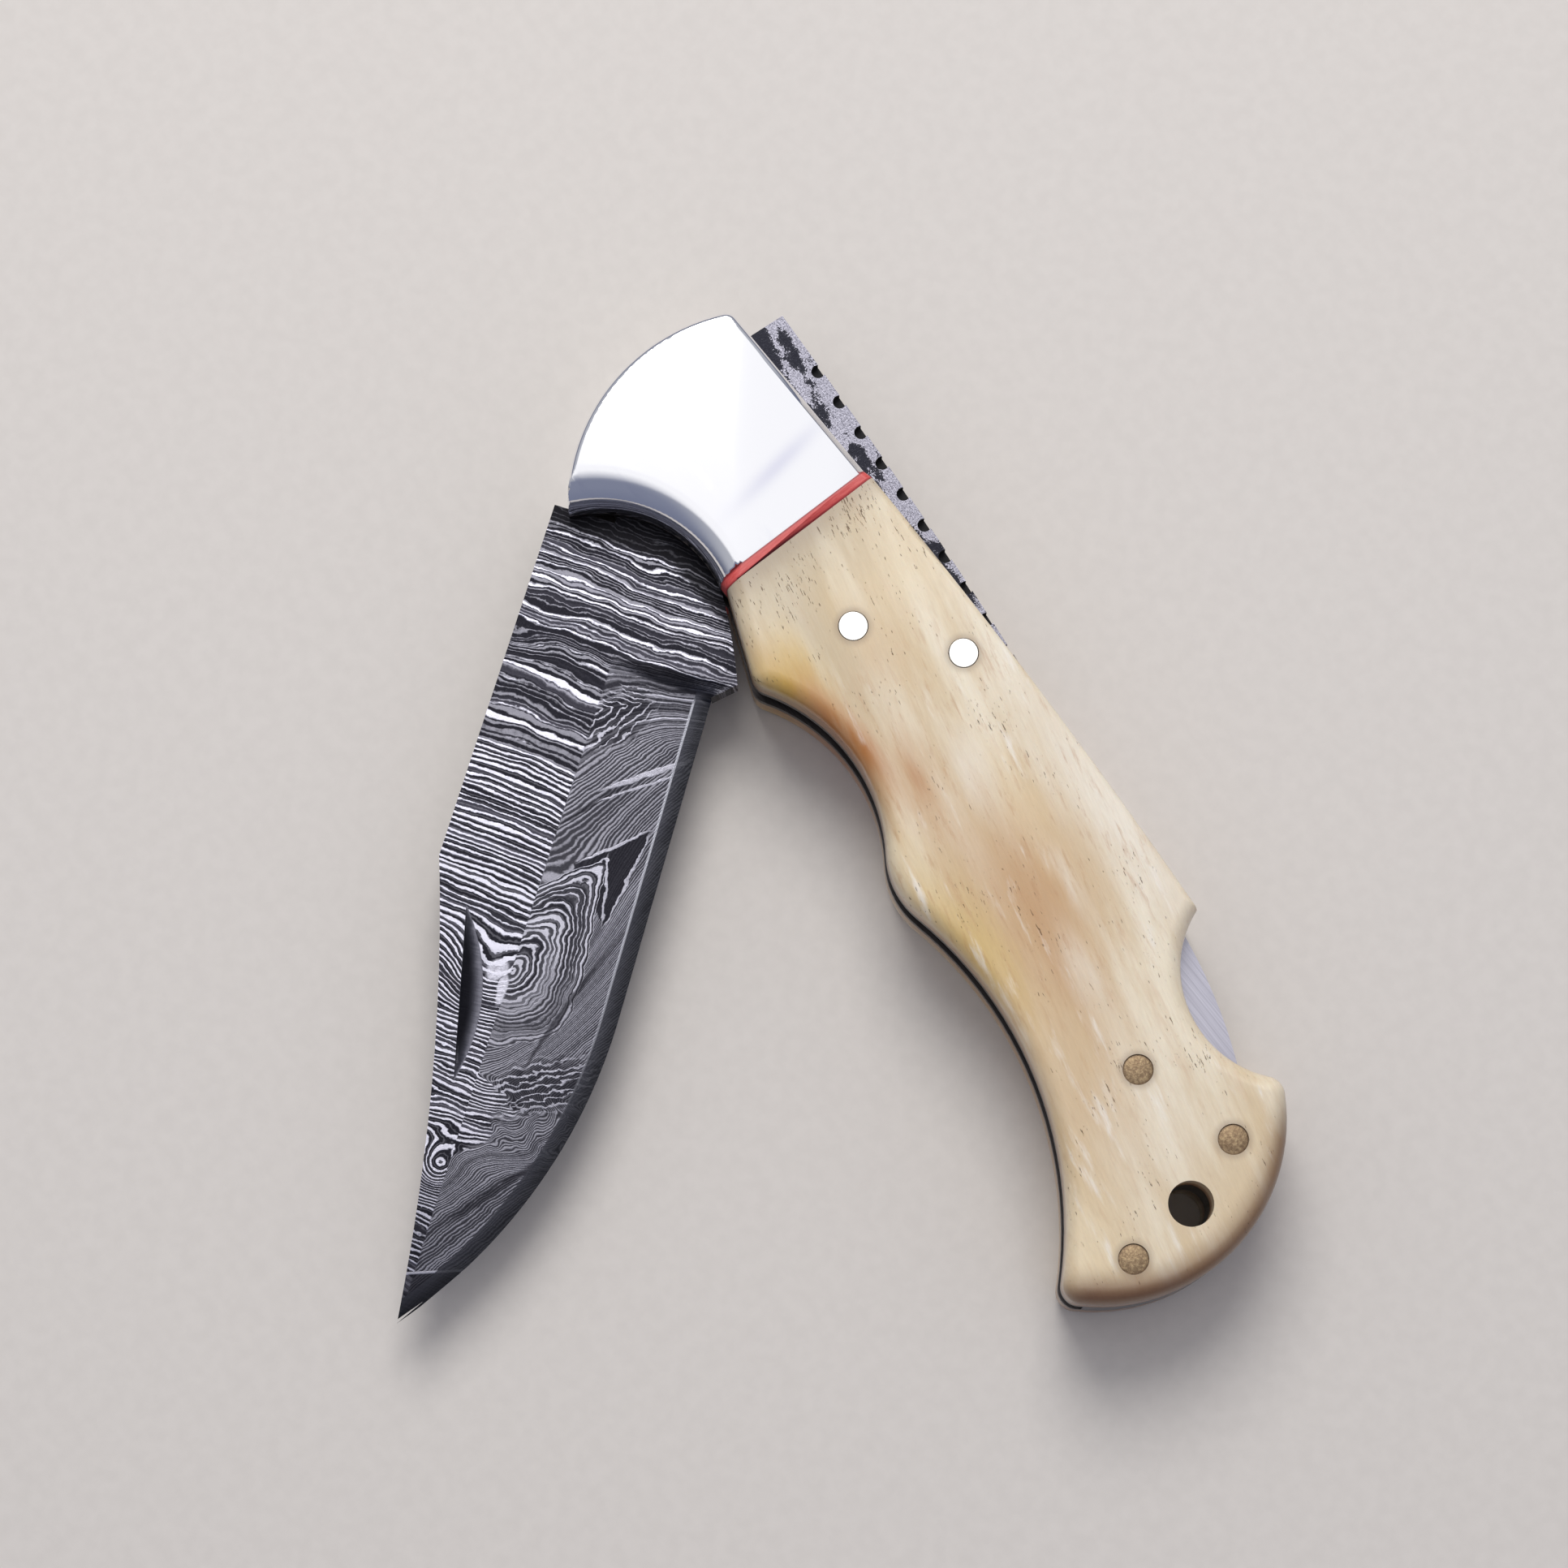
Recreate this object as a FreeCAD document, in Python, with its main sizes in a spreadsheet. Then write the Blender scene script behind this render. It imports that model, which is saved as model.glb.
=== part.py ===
import FreeCAD, Part
import math
import os
import re
import Sketcher

# A lockback folding knife, half open, lying on its back scale.
# The frame's origin is on the blade pivot at the resting face, +X runs to the butt, +Y to the back
# of the handle and +Z up. Every body is drawn about the mid plane of the blade and lifted to it.

# Driving dimensions, in millimetres and degrees
DIMENSIONS = {
    # layers of the handle, from the middle outwards
    "blade_thickness": 3.0,
    "washer_thickness": 0.15,
    "washer_play": 0.05,
    "liner_thickness": 1.0,
    "scale_thickness": 4.3,
    # handle outline: the back of the lock bar, and how far the plates stay below it
    "back_height": 12.0,
    "scale_back_drop": 0.7,
    "bolster_back_drop": 0.95,
    "nose_drop": 1.3,
    "nose_setback": 9.1,
    "nose_bulge_height": 4.4,
    "beak_setback": 3.6,
    "beak_drop": 12.9,
    "guard_hollow": 2.85,
    "bolster_rear": 10.7,
    "belly_front": 5.9,
    "spacer_width": 1.0,
    "guard_reach": 20.3,
    "guard_drop": 9.35,
    "finger_hollow": 3.15,
    "swell_start": 40.15,
    "swell_start_drop": 9.35,
    "swell_length": 6.45,
    "swell_end_drop": 10.65,
    "swell_bulge_height": 0.7,
    "palm_hollow": 5.15,
    "heel_reach": 82.3,
    "heel_drop": 22.5,
    "butt_bulge_height": 7.9,
    "notch_rear_setback": 3.3,
    "notch_rear_drop": 5.83,
    "notch_front_setback": 20.2,
    "notch_front_drop": 2.25,
    "notch_depth": 4.83,
    "back_crown": 0.56,
    # rounding of the outer edges and of the outline's corners
    "scale_roll": 1.6,
    "bolster_edge": 0.5,
    "bolster_low_roll": 2.6,
    "crisp_round": 0.6,
    "corner_margin": 0.2,
    "nose_round": 1.2,
    # pins and holes
    "pivot_diameter": 4.8,
    "washer_diameter": 11.5,
    "pin_diameter": 2.8,
    "bolster_rivet_diameter": 2.0,
    "pin_fit": 0.02,
    "running_fit": 0.04,
    "lock_pin_x": 30.1,
    "lock_pin_drop": 4.4,
    "scale_rivet_x": 21.8,
    "scale_rivet_drop": 10.9,
    "spring_pin_setback": 12.0,
    "spring_pin_drop": 2.85,
    "butt_upper_setback": 1.7,
    "butt_upper_drop": 7.22,
    "butt_lower_reach": 1.2,
    "butt_lower_rise": 7.5,
    "lanyard_reach": 0.5,
    "lanyard_rise": 14.75,
    "lanyard_diameter": 4.2,
    "bolster_rivet_reach": 6.6,
    "bolster_rivet_drop": 4.1,
    # lock bar, drawn with its back flush, then lifted by the tang
    "lift_angle": 4.5,
    "bar_side_play": 0.2,
    "bar_front": 7.45,
    "bar_rise": 0.25,
    "bar_crown": 0.95,
    "bar_waist_drop": 3.1,
    "lug_length": 4.05,
    "lug_drop": 5.7,
    "bar_shoulder_setback": 7.6,
    "bar_boss_setback": 2.6,
    "bar_belly_drop": 7.6,
    "bar_belly_setback": 25.3,
    "bar_tail_start_setback": 18.7,
    "bar_tail_start_drop": 1.45,
    "bar_tail_setback": 6.5,
    "bar_tail_drop": 4.2,
    "bar_tail_base_drop": 6.6,
    "bar_tail_bulge_height": 0.4,
    "lock_play": 0.15,
    # round notches filed along the bar's back
    "filework_setback": 6.45,
    "filework_pitch": 3.6,
    "filework_count": 10,
    "filework_radius": 0.65,
    "filework_sink": 0.35,
    "filework_depth": 1.0,
    # leaf spring and butt block
    "spring_thickness": 1.3,
    "spring_tip_setback": 28.3,
    "spring_play": 0.1,
    "spring_eye": 2.4,
    "block_front_setback": 8.8,
    "block_wall_setback": 5.1,
    "block_play": 0.45,
    # blade, drawn along +X with its spine downwards
    "rest_angle": 55.3,
    "tip_rise": 4.17,
    "spine_rise": 0.1,
    "clip_run": 42.4,
    "clip_hollow": 1.31,
    "tip_overhang": 2.8,
    "tip_drop": 2.43,
    "edge_curve_run": 33.4,
    "edge_height": 8.45,
    "edge_bulge_height": 3.15,
    "edge_heel": 20.9,
    "edge_heel_height": 7.6,
    "ricasso_reach": 19.0,
    "ricasso_height": 9.6,
    "ricasso_angle": 24.5,
    "ricasso_bulge_height": 0.35,
    # grinds
    "plunge_start": 18.9,
    "plunge_end": 20.9,
    "plunge_lift_height": 0.15,
    "ridge_drop": 2.6,
    "ridge_bend_share": 0.19,
    "ridge_fade_share": 0.61,
    "ridge_fade_drop": 5.0,
    "ridge_tip_drop": 8.0,
    "bevel_land": 0.35,
    "edge_bevel": 1.55,
    "edge_land": 0.05,
    # nail nick
    "nick_run": 11.7,
    "nick_drop": 6.25,
    "nick_angle": 14.0,
    "nick_length": 17.0,
    "nick_width": 2.2,
    "nick_depth": 0.9,
}

# Sizes that follow from the driving ones
DERIVED = {
    "slot_half": "blade_thickness / 2 + washer_thickness + washer_play",
    "liner_face": "slot_half + liner_thickness",
    "mid_height": "liner_face + scale_thickness",
    "scale_front": "bolster_rear + spacer_width",
    "corner_round": "scale_roll + corner_margin",
    "bolster_roll": "scale_thickness - bolster_edge",
    "scale_back": "back_height - scale_back_drop",
    "bolster_back": "back_height - bolster_back_drop",
    "nose_height": "back_height - nose_drop",
    "swell_end": "swell_start + swell_length",
    # places along the handle's butt and under its back
    "notch_rear": "heel_reach - notch_rear_setback",
    "notch_rear_height": "back_height - notch_rear_drop",
    "notch_front": "heel_reach - notch_front_setback",
    "notch_front_height": "back_height - notch_front_drop",
    "lock_pin_y": "back_height - lock_pin_drop",
    "scale_rivet_y": "back_height - scale_rivet_drop",
    "bolster_rivet_rise": "back_height - bolster_rivet_drop",
    "spring_pin_x": "heel_reach - spring_pin_setback",
    "spring_pin_y": "butt_upper_y - spring_pin_drop",
    "butt_upper_x": "heel_reach - butt_upper_setback",
    "butt_upper_y": "notch_rear_height - butt_upper_drop",
    "butt_lower_x": "heel_reach + butt_lower_reach",
    "butt_lower_y": "butt_lower_rise - heel_drop",
    "lanyard_x": "heel_reach + lanyard_reach",
    "lanyard_y": "lanyard_rise - heel_drop",
    "block_front": "heel_reach - block_front_setback",
    "block_wall": "heel_reach - block_wall_setback",
    # lock bar with its back flush
    "bar_front_height": "back_height + bar_rise",
    "bar_waist": "back_height - bar_waist_drop",
    "lug_bottom": "back_height - lug_drop",
    "bar_shoulder": "lock_pin_x - bar_shoulder_setback",
    "bar_boss": "lock_pin_x - bar_boss_setback",
    "bar_belly": "back_height - bar_belly_drop",
    "bar_belly_end": "heel_reach - bar_belly_setback",
    "bar_tail_start": "heel_reach - bar_tail_start_setback",
    "bar_tail_start_height": "back_height - bar_tail_start_drop",
    "bar_tail": "heel_reach - bar_tail_setback",
    "bar_tail_height": "back_height - bar_tail_drop",
    "bar_tail_base": "back_height - bar_tail_base_drop",
    # circle of the bar's back
    "bar_run": "bar_tail_start + bar_front",
    "bar_fall": "bar_front_height - bar_tail_start_height",
    "bar_chord": "sqrt(bar_run ^ 2 + bar_fall ^ 2)",
    "bar_radius": "bar_chord ^ 2 / (8 * bar_crown) + bar_crown / 2",
    "bar_sink": "(bar_radius - bar_crown) / bar_chord",
    "bar_centre_x": "(bar_tail_start - bar_front) / 2 - bar_sink * bar_fall",
    "bar_centre_y": "(bar_front_height + bar_tail_start_height) / 2 - bar_sink * bar_run",
    # lug of the lifted lock bar, seen from its pin
    "lug_rear": "bar_front - lug_length",
    "lug_arm": "lock_pin_x + lug_rear",
    "lug_dip": "lock_pin_y - lug_bottom",
    "lug_lift_x": "lock_pin_x - lug_arm * cos(lift_angle) - lug_dip * sin(lift_angle)",
    "lug_lift_y": "lock_pin_y + lug_arm * sin(lift_angle) - lug_dip * cos(lift_angle)",
    # tang that carries the lug, with its open notch and closed seat
    "tang_radius": "sqrt(lug_lift_x ^ 2 + lug_lift_y ^ 2) - lock_play",
    "shoulder": "bar_front + lock_play",
    "notch_wall": "lug_rear - lock_play",
    "notch_floor": "lug_bottom - lock_play",
    "notch_wall_top": "sqrt(tang_radius ^ 2 - notch_wall ^ 2)",
    "seat_end": "sqrt(tang_radius ^ 2 - notch_floor ^ 2)",
    "ricasso_root": "tang_radius * cos(ricasso_angle)",
    "ricasso_root_height": "tang_radius * sin(ricasso_angle)",
    # blade outline, up to a point that folds into the butt
    "spine_drop": "back_height + spine_rise",
    "tip_reach": "heel_reach + tip_overhang",
    "clip_start": "tip_reach - clip_run",
    "edge_straight": "tip_reach - edge_curve_run",
    "ridge_bend": "edge_straight + edge_curve_run * ridge_bend_share",
    "ridge_fade": "edge_straight + edge_curve_run * ridge_fade_share",
    "nick_centre": "clip_start + nick_run",
    # cutting edge: chord and circle of its curved part
    "edge_rise": "(edge_height - edge_heel_height) / (edge_straight - edge_heel)",
    "edge_chord": "sqrt((tip_reach - edge_straight) ^ 2 + (edge_height + tip_drop) ^ 2)",
    "edge_radius": "edge_chord ^ 2 / (8 * edge_bulge_height) + edge_bulge_height / 2",
    "edge_cosine": "(tip_reach - edge_straight) / edge_chord",
    "edge_sine": "(edge_height + tip_drop) / edge_chord",
    "edge_centre_x": "(tip_reach + edge_straight) / 2 - (edge_radius - edge_bulge_height) * edge_sine",
    "edge_centre_y": "(edge_height - tip_drop) / 2 - (edge_radius - edge_bulge_height) * edge_cosine",
    # the blade closes until its point lies above the heel; the same circle and the point then
    "tip_radius": "sqrt(tip_reach ^ 2 + tip_drop ^ 2)",
    "tip_turn": "asin((heel_drop - tip_rise) / tip_radius) - asin(tip_drop / tip_radius)",
    "closed_angle": "tip_turn / 1 deg",
    "closed_centre_x": "edge_centre_x * cos(closed_angle) + edge_centre_y * sin(closed_angle)",
    "closed_centre_y": "edge_centre_y * cos(closed_angle) - edge_centre_x * sin(closed_angle)",
    "closed_tip_x": "tip_reach * cos(closed_angle) - tip_drop * sin(closed_angle)",
    "block_radius": "edge_radius + block_play",
    "block_edge_y": "closed_centre_y + sqrt(block_radius ^ 2 - (block_front - closed_centre_x) ^ 2)",
    "block_end_x": "closed_tip_x + 2 * block_play",
    "block_end_y": "closed_centre_y + sqrt(block_radius ^ 2 - (block_end_x - closed_centre_x) ^ 2)",
    "block_chord": "sqrt((block_end_x - block_front) ^ 2 + (block_end_y - block_edge_y) ^ 2)",
    "block_bow": "block_radius - sqrt(block_radius ^ 2 - block_chord ^ 2 / 4)",
    # wheel that cuts the nail nick
    "nick_wheel": "nick_length ^ 2 / (8 * nick_depth) + nick_depth / 2",
    # leaf spring: its tip touches the lifted bar's belly
    "spring_tip": "heel_reach - spring_tip_setback",
    "tip_arm": "spring_tip - lock_pin_x",
    "tip_dip": "lock_pin_y - bar_belly",
    "spring_tip_y": "lock_pin_y - (tip_dip + tip_arm * sin(lift_angle)) / cos(lift_angle) - spring_play",
    "fulcrum_y": "spring_pin_y + pin_diameter / 2 + spring_play",
}

SIDES = {"front": 1, "back": -1}
MARGIN = 40.0

doc = FreeCAD.newDocument("FoldingKnife")


def fill_sheet(name, cells):
    """Puts one named cell per row on a sheet of the document."""
    sheet = doc.addObject("Spreadsheet::Sheet", name)
    for row, (alias, content) in enumerate(cells.items(), 1):
        sheet.set(f"A{row}", alias)
        sheet.set(f"B{row}", content)
        sheet.setAlias(f"B{row}", alias)
    return sheet


def bound(text):
    """Turns the plain names in an expression into references to the sheets."""
    def reference(match):
        word = match.group(0)
        if word in DIMENSIONS:
            return "Dimensions." + word
        return "Derived." + word if word in DERIVED else word
    return re.sub(r"[a-z_]+", reference, str(text))


dimensions = fill_sheet("Dimensions", {name: str(size) for name, size in DIMENSIONS.items()})
derived = fill_sheet("Derived", {name: "=" + bound(text) for name, text in DERIVED.items()})
doc.recompute()


def number(text):
    """The value of an expression on the sheets."""
    return float(dimensions.evalExpression(bound(text)))


def new_body(label, x="0", y="0", turn="0"):
    """A body about the blade's mid plane, placed at (x, y) and turned about +Z."""
    body = doc.addObject("PartDesign::Body", label)
    body.Label = label
    body.Placement = FreeCAD.Placement(FreeCAD.Vector(), FreeCAD.Rotation(FreeCAD.Vector(0, 0, 1), 1))
    body.setExpression("Placement.Base.x", bound(x))
    body.setExpression("Placement.Base.y", bound(y))
    body.setExpression("Placement.Base.z", bound("mid_height"))
    body.setExpression("Placement.Rotation.Angle", bound(turn))
    return body


def new_sketch(body, plane="XY_Plane", across="0", up="0", out="0"):
    """A sketch on one of the body's planes, shifted in that plane and along its normal."""
    sketch = body.newObject("Sketcher::SketchObject", body.Name + "_sketch")
    origin = next(part for part in body.Origin.OriginFeatures if part.Role == plane)
    sketch.AttachmentSupport = [(origin, "")]
    sketch.MapMode = "FlatFace"
    for axis, shift in zip("xyz", (across, up, out)):
        sketch.setExpression(f"AttachmentOffset.Base.{axis}", bound(shift))
    return sketch


def fix_point(sketch, geometry, position, x, y):
    """Ties a point of the sketch to its place."""
    for kind, text in (("DistanceX", x), ("DistanceY", y)):
        constraint = Sketcher.Constraint(kind, -1, 1, geometry, position, number(text))
        index = sketch.addConstraint(constraint)
        sketch.setExpression(f"Constraints[{index}]", bound(text))


def fix_radius(sketch, geometry, radius):
    """Ties a circle or arc to its radius."""
    index = sketch.addConstraint(Sketcher.Constraint("Radius", geometry, number(radius)))
    sketch.setExpression(f"Constraints[{index}]", bound(radius))


def draw_side(sketch, start, end, bow):
    """Adds a straight side, or an arc that bows out (positive) or in (negative) by a size."""
    first = FreeCAD.Vector(number(start[0]), number(start[1]))
    last = FreeCAD.Vector(number(end[0]), number(end[1]))
    if not bow:
        return sketch.addGeometry(Part.LineSegment(first, last)), 1, 2
    outward = (last - first).cross(FreeCAD.Vector(0, 0, 1)).normalize()
    rise = number(bow)
    reach = (last - first).Length ** 2 / (8 * rise) + rise / 2
    centre = (first + last) / 2 + outward * (rise - reach)
    ends = (first, last) if rise > 0 else (last, first)
    angles = [math.atan2(end.y - centre.y, end.x - centre.x) for end in ends]
    circle = Part.Circle(centre, FreeCAD.Vector(0, 0, 1), abs(reach))
    side = sketch.addGeometry(Part.ArcOfCircle(circle, *angles))
    height = bow.lstrip("-")
    chord = f"((({end[0]}) - ({start[0]})) ^ 2 + (({end[1]}) - ({start[1]})) ^ 2)"
    fix_radius(sketch, side, f"{chord} / (8 * ({height})) + ({height}) / 2")
    return (side, 1, 2) if rise > 0 else (side, 2, 1)


def trace(sketch, corners, closed=True):
    """Draws an outline anticlockwise through corners (x, y, bow of the side that leaves it)."""
    ends = corners[1:] + corners[:1] if closed else corners[1:]
    sides = [draw_side(sketch, here, there, here[2]) for here, there in zip(corners, ends)]
    for corner, (side, start, _) in zip(corners, sides):
        fix_point(sketch, side, start, corner[0], corner[1])
    for (side, _, end), (after, start, _) in zip(sides, sides[1:] + sides[:1] * closed):
        sketch.addConstraint(Sketcher.Constraint("Coincident", side, end, after, start))
    if not closed:
        fix_point(sketch, sides[-1][0], sides[-1][2], corners[-1][0], corners[-1][1])
    return sketch


def add_circle(sketch, x, y, diameter):
    """Adds a circle at its place."""
    centre = FreeCAD.Vector(number(x), number(y))
    radius = f"({diameter}) / 2"
    circle = sketch.addGeometry(Part.Circle(centre, FreeCAD.Vector(0, 0, 1), number(radius)))
    fix_point(sketch, circle, 3, x, y)
    fix_radius(sketch, circle, radius)


def pad(body, sketch, length, reverse=False):
    """Raises a solid from a sketch, along its normal or against it."""
    feature = body.newObject("PartDesign::Pad", body.Name + "_pad")
    feature.Profile = sketch
    feature.setExpression("Length", bound(length))
    feature.Reversed = reverse
    doc.recompute()
    return feature


def cut_away(body, kind, sketch, **settings):
    """Adds a feature that removes material, and makes sure that it did."""
    before = body.Shape.Volume
    feature = body.newObject("PartDesign::" + kind, body.Name + "_cut")
    feature.Profile = sketch
    for name, setting in settings.items():
        setattr(feature, name, setting)
    doc.recompute()
    if not body.Shape.Volume < before:
        raise RuntimeError(f"{kind} of {body.Label} cuts nothing")
    return feature


def bore(body, holes, fit):
    """Drills the holes (x, y, diameter) right through a body, with a radial fit."""
    sketch = new_sketch(body, out="mid_height")
    for x, y, diameter in holes:
        add_circle(sketch, x, y, f"({diameter}) + 2 * ({fit})")
    cut_away(body, "Pocket", sketch, Type="ThroughAll")


def round_edges(body, chosen, radius):
    """Rounds the edges of a body that a test picks."""
    doc.recompute()
    names = [f"Edge{i}" for i, edge in enumerate(body.Shape.Edges, 1) if chosen(edge)]
    base = body.Tip
    fillet = body.newObject("PartDesign::Fillet", body.Name + "_round")
    fillet.Base = (base, names)
    fillet.setExpression("Radius", bound(radius))
    doc.recompute()


def lies_at(edge, **place):
    """True where both ends of an edge have the given x, y or z."""
    return all(
        math.isclose(getattr(vertex, axis.upper()), where, abs_tol=1e-4)
        for vertex in edge.Vertexes
        for axis, where in place.items()
    )


def is_corner(vertex, corner):
    """True where a vertex stands on a corner of an outline."""
    return vertex.Point.isEqual(FreeCAD.Vector(number(corner[0]), number(corner[1]), vertex.Z), 1e-4)


def round_corners(body, corners, radius):
    """Rounds the upright edges of a plate at some corners of its outline."""
    def chosen(edge):
        return any(all(is_corner(vertex, corner) for vertex in edge.Vertexes) for corner in corners)
    round_edges(body, chosen, radius)


def roll_edges(label, blank, side, radius_at):
    """Rolls a plate's outer edges over, by the radius that a rule gives each end of an edge."""
    level = number("mid_height") * (1 + SIDES[side])
    rolled = doc.addObject("Part::Fillet", label)
    rolled.Label = label
    rolled.Base = blank
    rolled.Edges = [
        (index, *(radius_at(edge, vertex) for vertex in edge.Vertexes))
        for index, edge in enumerate(blank.Shape.Edges, 1)
        if lies_at(edge, z=level) and len(edge.Vertexes) == 2 and all(
            radius_at(edge, vertex) for vertex in edge.Vertexes)
    ]
    doc.recompute()
    return rolled


# Outline of the handle, anticlockwise from the bolster's beak
BEAK = ("-beak_setback", "-beak_drop", "-guard_hollow")
NOSE = ("-nose_setback", "nose_height", "nose_bulge_height")
BELLY = [
    ("guard_reach", "-guard_drop", "-finger_hollow"),
    ("swell_start", "-swell_start_drop", "swell_bulge_height"),
    ("swell_end", "-swell_end_drop", "-palm_hollow"),
    ("heel_reach", "-heel_drop", "butt_bulge_height"),
    ("notch_rear", "notch_rear_height", "-notch_depth"),
    ("notch_front", "notch_front_height", "back_crown"),
]
SCALE_LOW = ("scale_front", "-belly_front", "")
SCALE_HIGH = ("scale_front", "scale_back", "")
BOLSTER_LOW = ("bolster_rear", "-belly_front", "")
BOLSTER_HIGH = ("bolster_rear", "bolster_back", "")
HANDLE_OUTLINE = [BEAK, BOLSTER_LOW, SCALE_LOW] + BELLY + [SCALE_HIGH, BOLSTER_HIGH, NOSE]
BOLSTER_OUTLINE = [BEAK, BOLSTER_LOW, BOLSTER_HIGH, NOSE]
SPACER_OUTLINE = [BOLSTER_LOW, SCALE_LOW, SCALE_HIGH, BOLSTER_HIGH]
SCALE_OUTLINE = [SCALE_LOW] + BELLY + [SCALE_HIGH]
ROUNDED = BELLY[:-1]

# Holes through the handle
PIVOT = ("0", "0", "pivot_diameter")
LOCK_PIN = ("lock_pin_x", "lock_pin_y", "pin_diameter")
SCALE_RIVET = ("scale_rivet_x", "scale_rivet_y", "pin_diameter")
SPRING_PIN = ("spring_pin_x", "spring_pin_y", "pin_diameter")
BUTT_UPPER = ("butt_upper_x", "butt_upper_y", "pin_diameter")
BUTT_LOWER = ("butt_lower_x", "butt_lower_y", "pin_diameter")
LANYARD = ("lanyard_x", "lanyard_y", "lanyard_diameter")
BOLSTER_RIVETS = [
    ("bolster_rivet_reach", "bolster_rivet_rise", "bolster_rivet_diameter"),
    ("-bolster_rivet_reach", "-bolster_rivet_rise + bolster_rivet_diameter", "bolster_rivet_diameter"),
]
SCALE_PINS = [LOCK_PIN, SCALE_RIVET, SPRING_PIN, BUTT_UPPER, BUTT_LOWER]


def make_layer(label, outline, side, inner, thickness):
    """A plate of the handle, from its inner face outwards."""
    body = new_body(label)
    sketch = new_sketch(body, out=f"{SIDES[side]} * ({inner})")
    pad(body, trace(sketch, outline), thickness, reverse=SIDES[side] < 0)
    return body


def make_liner(side):
    """Thin liner with the whole outline."""
    body = make_layer(f"liner_{side}", HANDLE_OUTLINE, side, "slot_half", "liner_thickness")
    round_corners(body, ROUNDED, "corner_round")
    round_corners(body, [NOSE], "nose_round")
    bore(body, [PIVOT] + SCALE_PINS + BOLSTER_RIVETS, "pin_fit")
    bore(body, [LANYARD], "0")
    return body


def make_bolster(side):
    """Bolster: crisp at the nose and the back, rolled over at the hollow under it, most at its beak."""
    label = f"bolster_{side}"
    blank = make_layer(f"{label}_blank", BOLSTER_OUTLINE, side, "liner_face", "scale_thickness")
    round_corners(blank, [NOSE], "nose_round")
    bore(blank, [PIVOT] + BOLSTER_RIVETS, "pin_fit")

    def radius_at(edge, vertex):
        if lies_at(edge, x=number("bolster_rear")):
            return 0
        if not any(is_corner(end, BOLSTER_LOW) for end in edge.Vertexes):
            return number("crisp_round")
        return number("bolster_roll" if is_corner(vertex, BEAK) else "bolster_low_roll")

    return roll_edges(label, blank, side, radius_at)


def make_spacer(side):
    """Fibre strip between bolster and scale, rolled over like both."""
    label = f"spacer_{side}"
    blank = make_layer(f"{label}_blank", SPACER_OUTLINE, side, "liner_face", "scale_thickness")

    def radius_at(edge, vertex):
        if lies_at(edge, x=number("bolster_rear")) or lies_at(edge, x=number("scale_front")):
            return 0
        if is_corner(vertex, BOLSTER_LOW):
            return number("bolster_low_roll")
        return number("scale_roll" if is_corner(vertex, SCALE_LOW) else "crisp_round")

    return roll_edges(label, blank, side, radius_at)


def make_scale(side):
    """Bone scale: rolled over along the belly, the butt and the thumb notch, crisp along the back."""
    label = f"scale_{side}"
    blank = make_layer(f"{label}_blank", SCALE_OUTLINE, side, "liner_face", "scale_thickness")
    round_corners(blank, ROUNDED, "corner_round")
    bore(blank, SCALE_PINS, "pin_fit")
    bore(blank, [LANYARD], "0")

    def radius_at(edge, vertex):
        if lies_at(edge, x=number("scale_front")):
            return 0
        along_back = any(is_corner(end, SCALE_HIGH) for end in edge.Vertexes)
        return number("crisp_round" if along_back else "scale_roll")

    return roll_edges(label, blank, side, radius_at)


def make_pin(label, hole, low, high):
    """A plain pin in a hole, between two heights over the mid plane."""
    body = new_body(label)
    sketch = new_sketch(body, out=low)
    add_circle(sketch, *hole)
    pad(body, sketch, f"({high}) - ({low})")
    return body


def make_rivets(label, holes, side):
    """Rivets that hold an outer piece to its liner on one side."""
    body = new_body(label)
    sketch = new_sketch(body, out=f"{SIDES[side]} * slot_half")
    for hole in holes:
        add_circle(sketch, *hole)
    pad(body, sketch, "mid_height - slot_half", reverse=SIDES[side] < 0)
    return body


def make_washer(side):
    """Thin washer between tang and liner."""
    body = new_body(f"washer_{side}")
    sketch = new_sketch(body, out=f"{SIDES[side]} * slot_half")
    add_circle(sketch, "0", "0", "washer_diameter")
    add_circle(sketch, "0", "0", "pivot_diameter + 2 * running_fit")
    pad(body, sketch, "washer_thickness", reverse=SIDES[side] > 0)
    return body


def make_butt_block():
    """Steel block at the butt: the handle's outline, less the room of the blade, the bar and the spring."""
    body = new_body("butt_block")
    pad(body, trace(new_sketch(body, out="-slot_half"), HANDLE_OUTLINE), "2 * slot_half")
    round_corners(body, ROUNDED, "corner_round")
    slot_top = "butt_upper_y + spring_eye + block_play"
    slot_low = "butt_upper_y - spring_eye - block_play"
    slot_end = "butt_upper_x + spring_eye + block_play"
    room = [
        (f"-{MARGIN}", f"-{MARGIN}", ""),
        ("block_end_x", f"-{MARGIN}", ""),
        ("block_end_x", "block_end_y", "block_bow"),
        ("block_front", "block_edge_y", ""),
        ("block_front", slot_low, ""),
        (slot_end, slot_low, ""),
        (slot_end, slot_top, ""),
        ("block_wall", slot_top, ""),
        ("block_wall", f"{MARGIN}", ""),
        (f"-{MARGIN}", f"{MARGIN}", ""),
    ]
    cut_away(body, "Pocket", trace(new_sketch(body, out="slot_half"), room), Type="ThroughAll")
    bore(body, [BUTT_LOWER], "pin_fit")
    bore(body, [LANYARD], "0")
    return body


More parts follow.
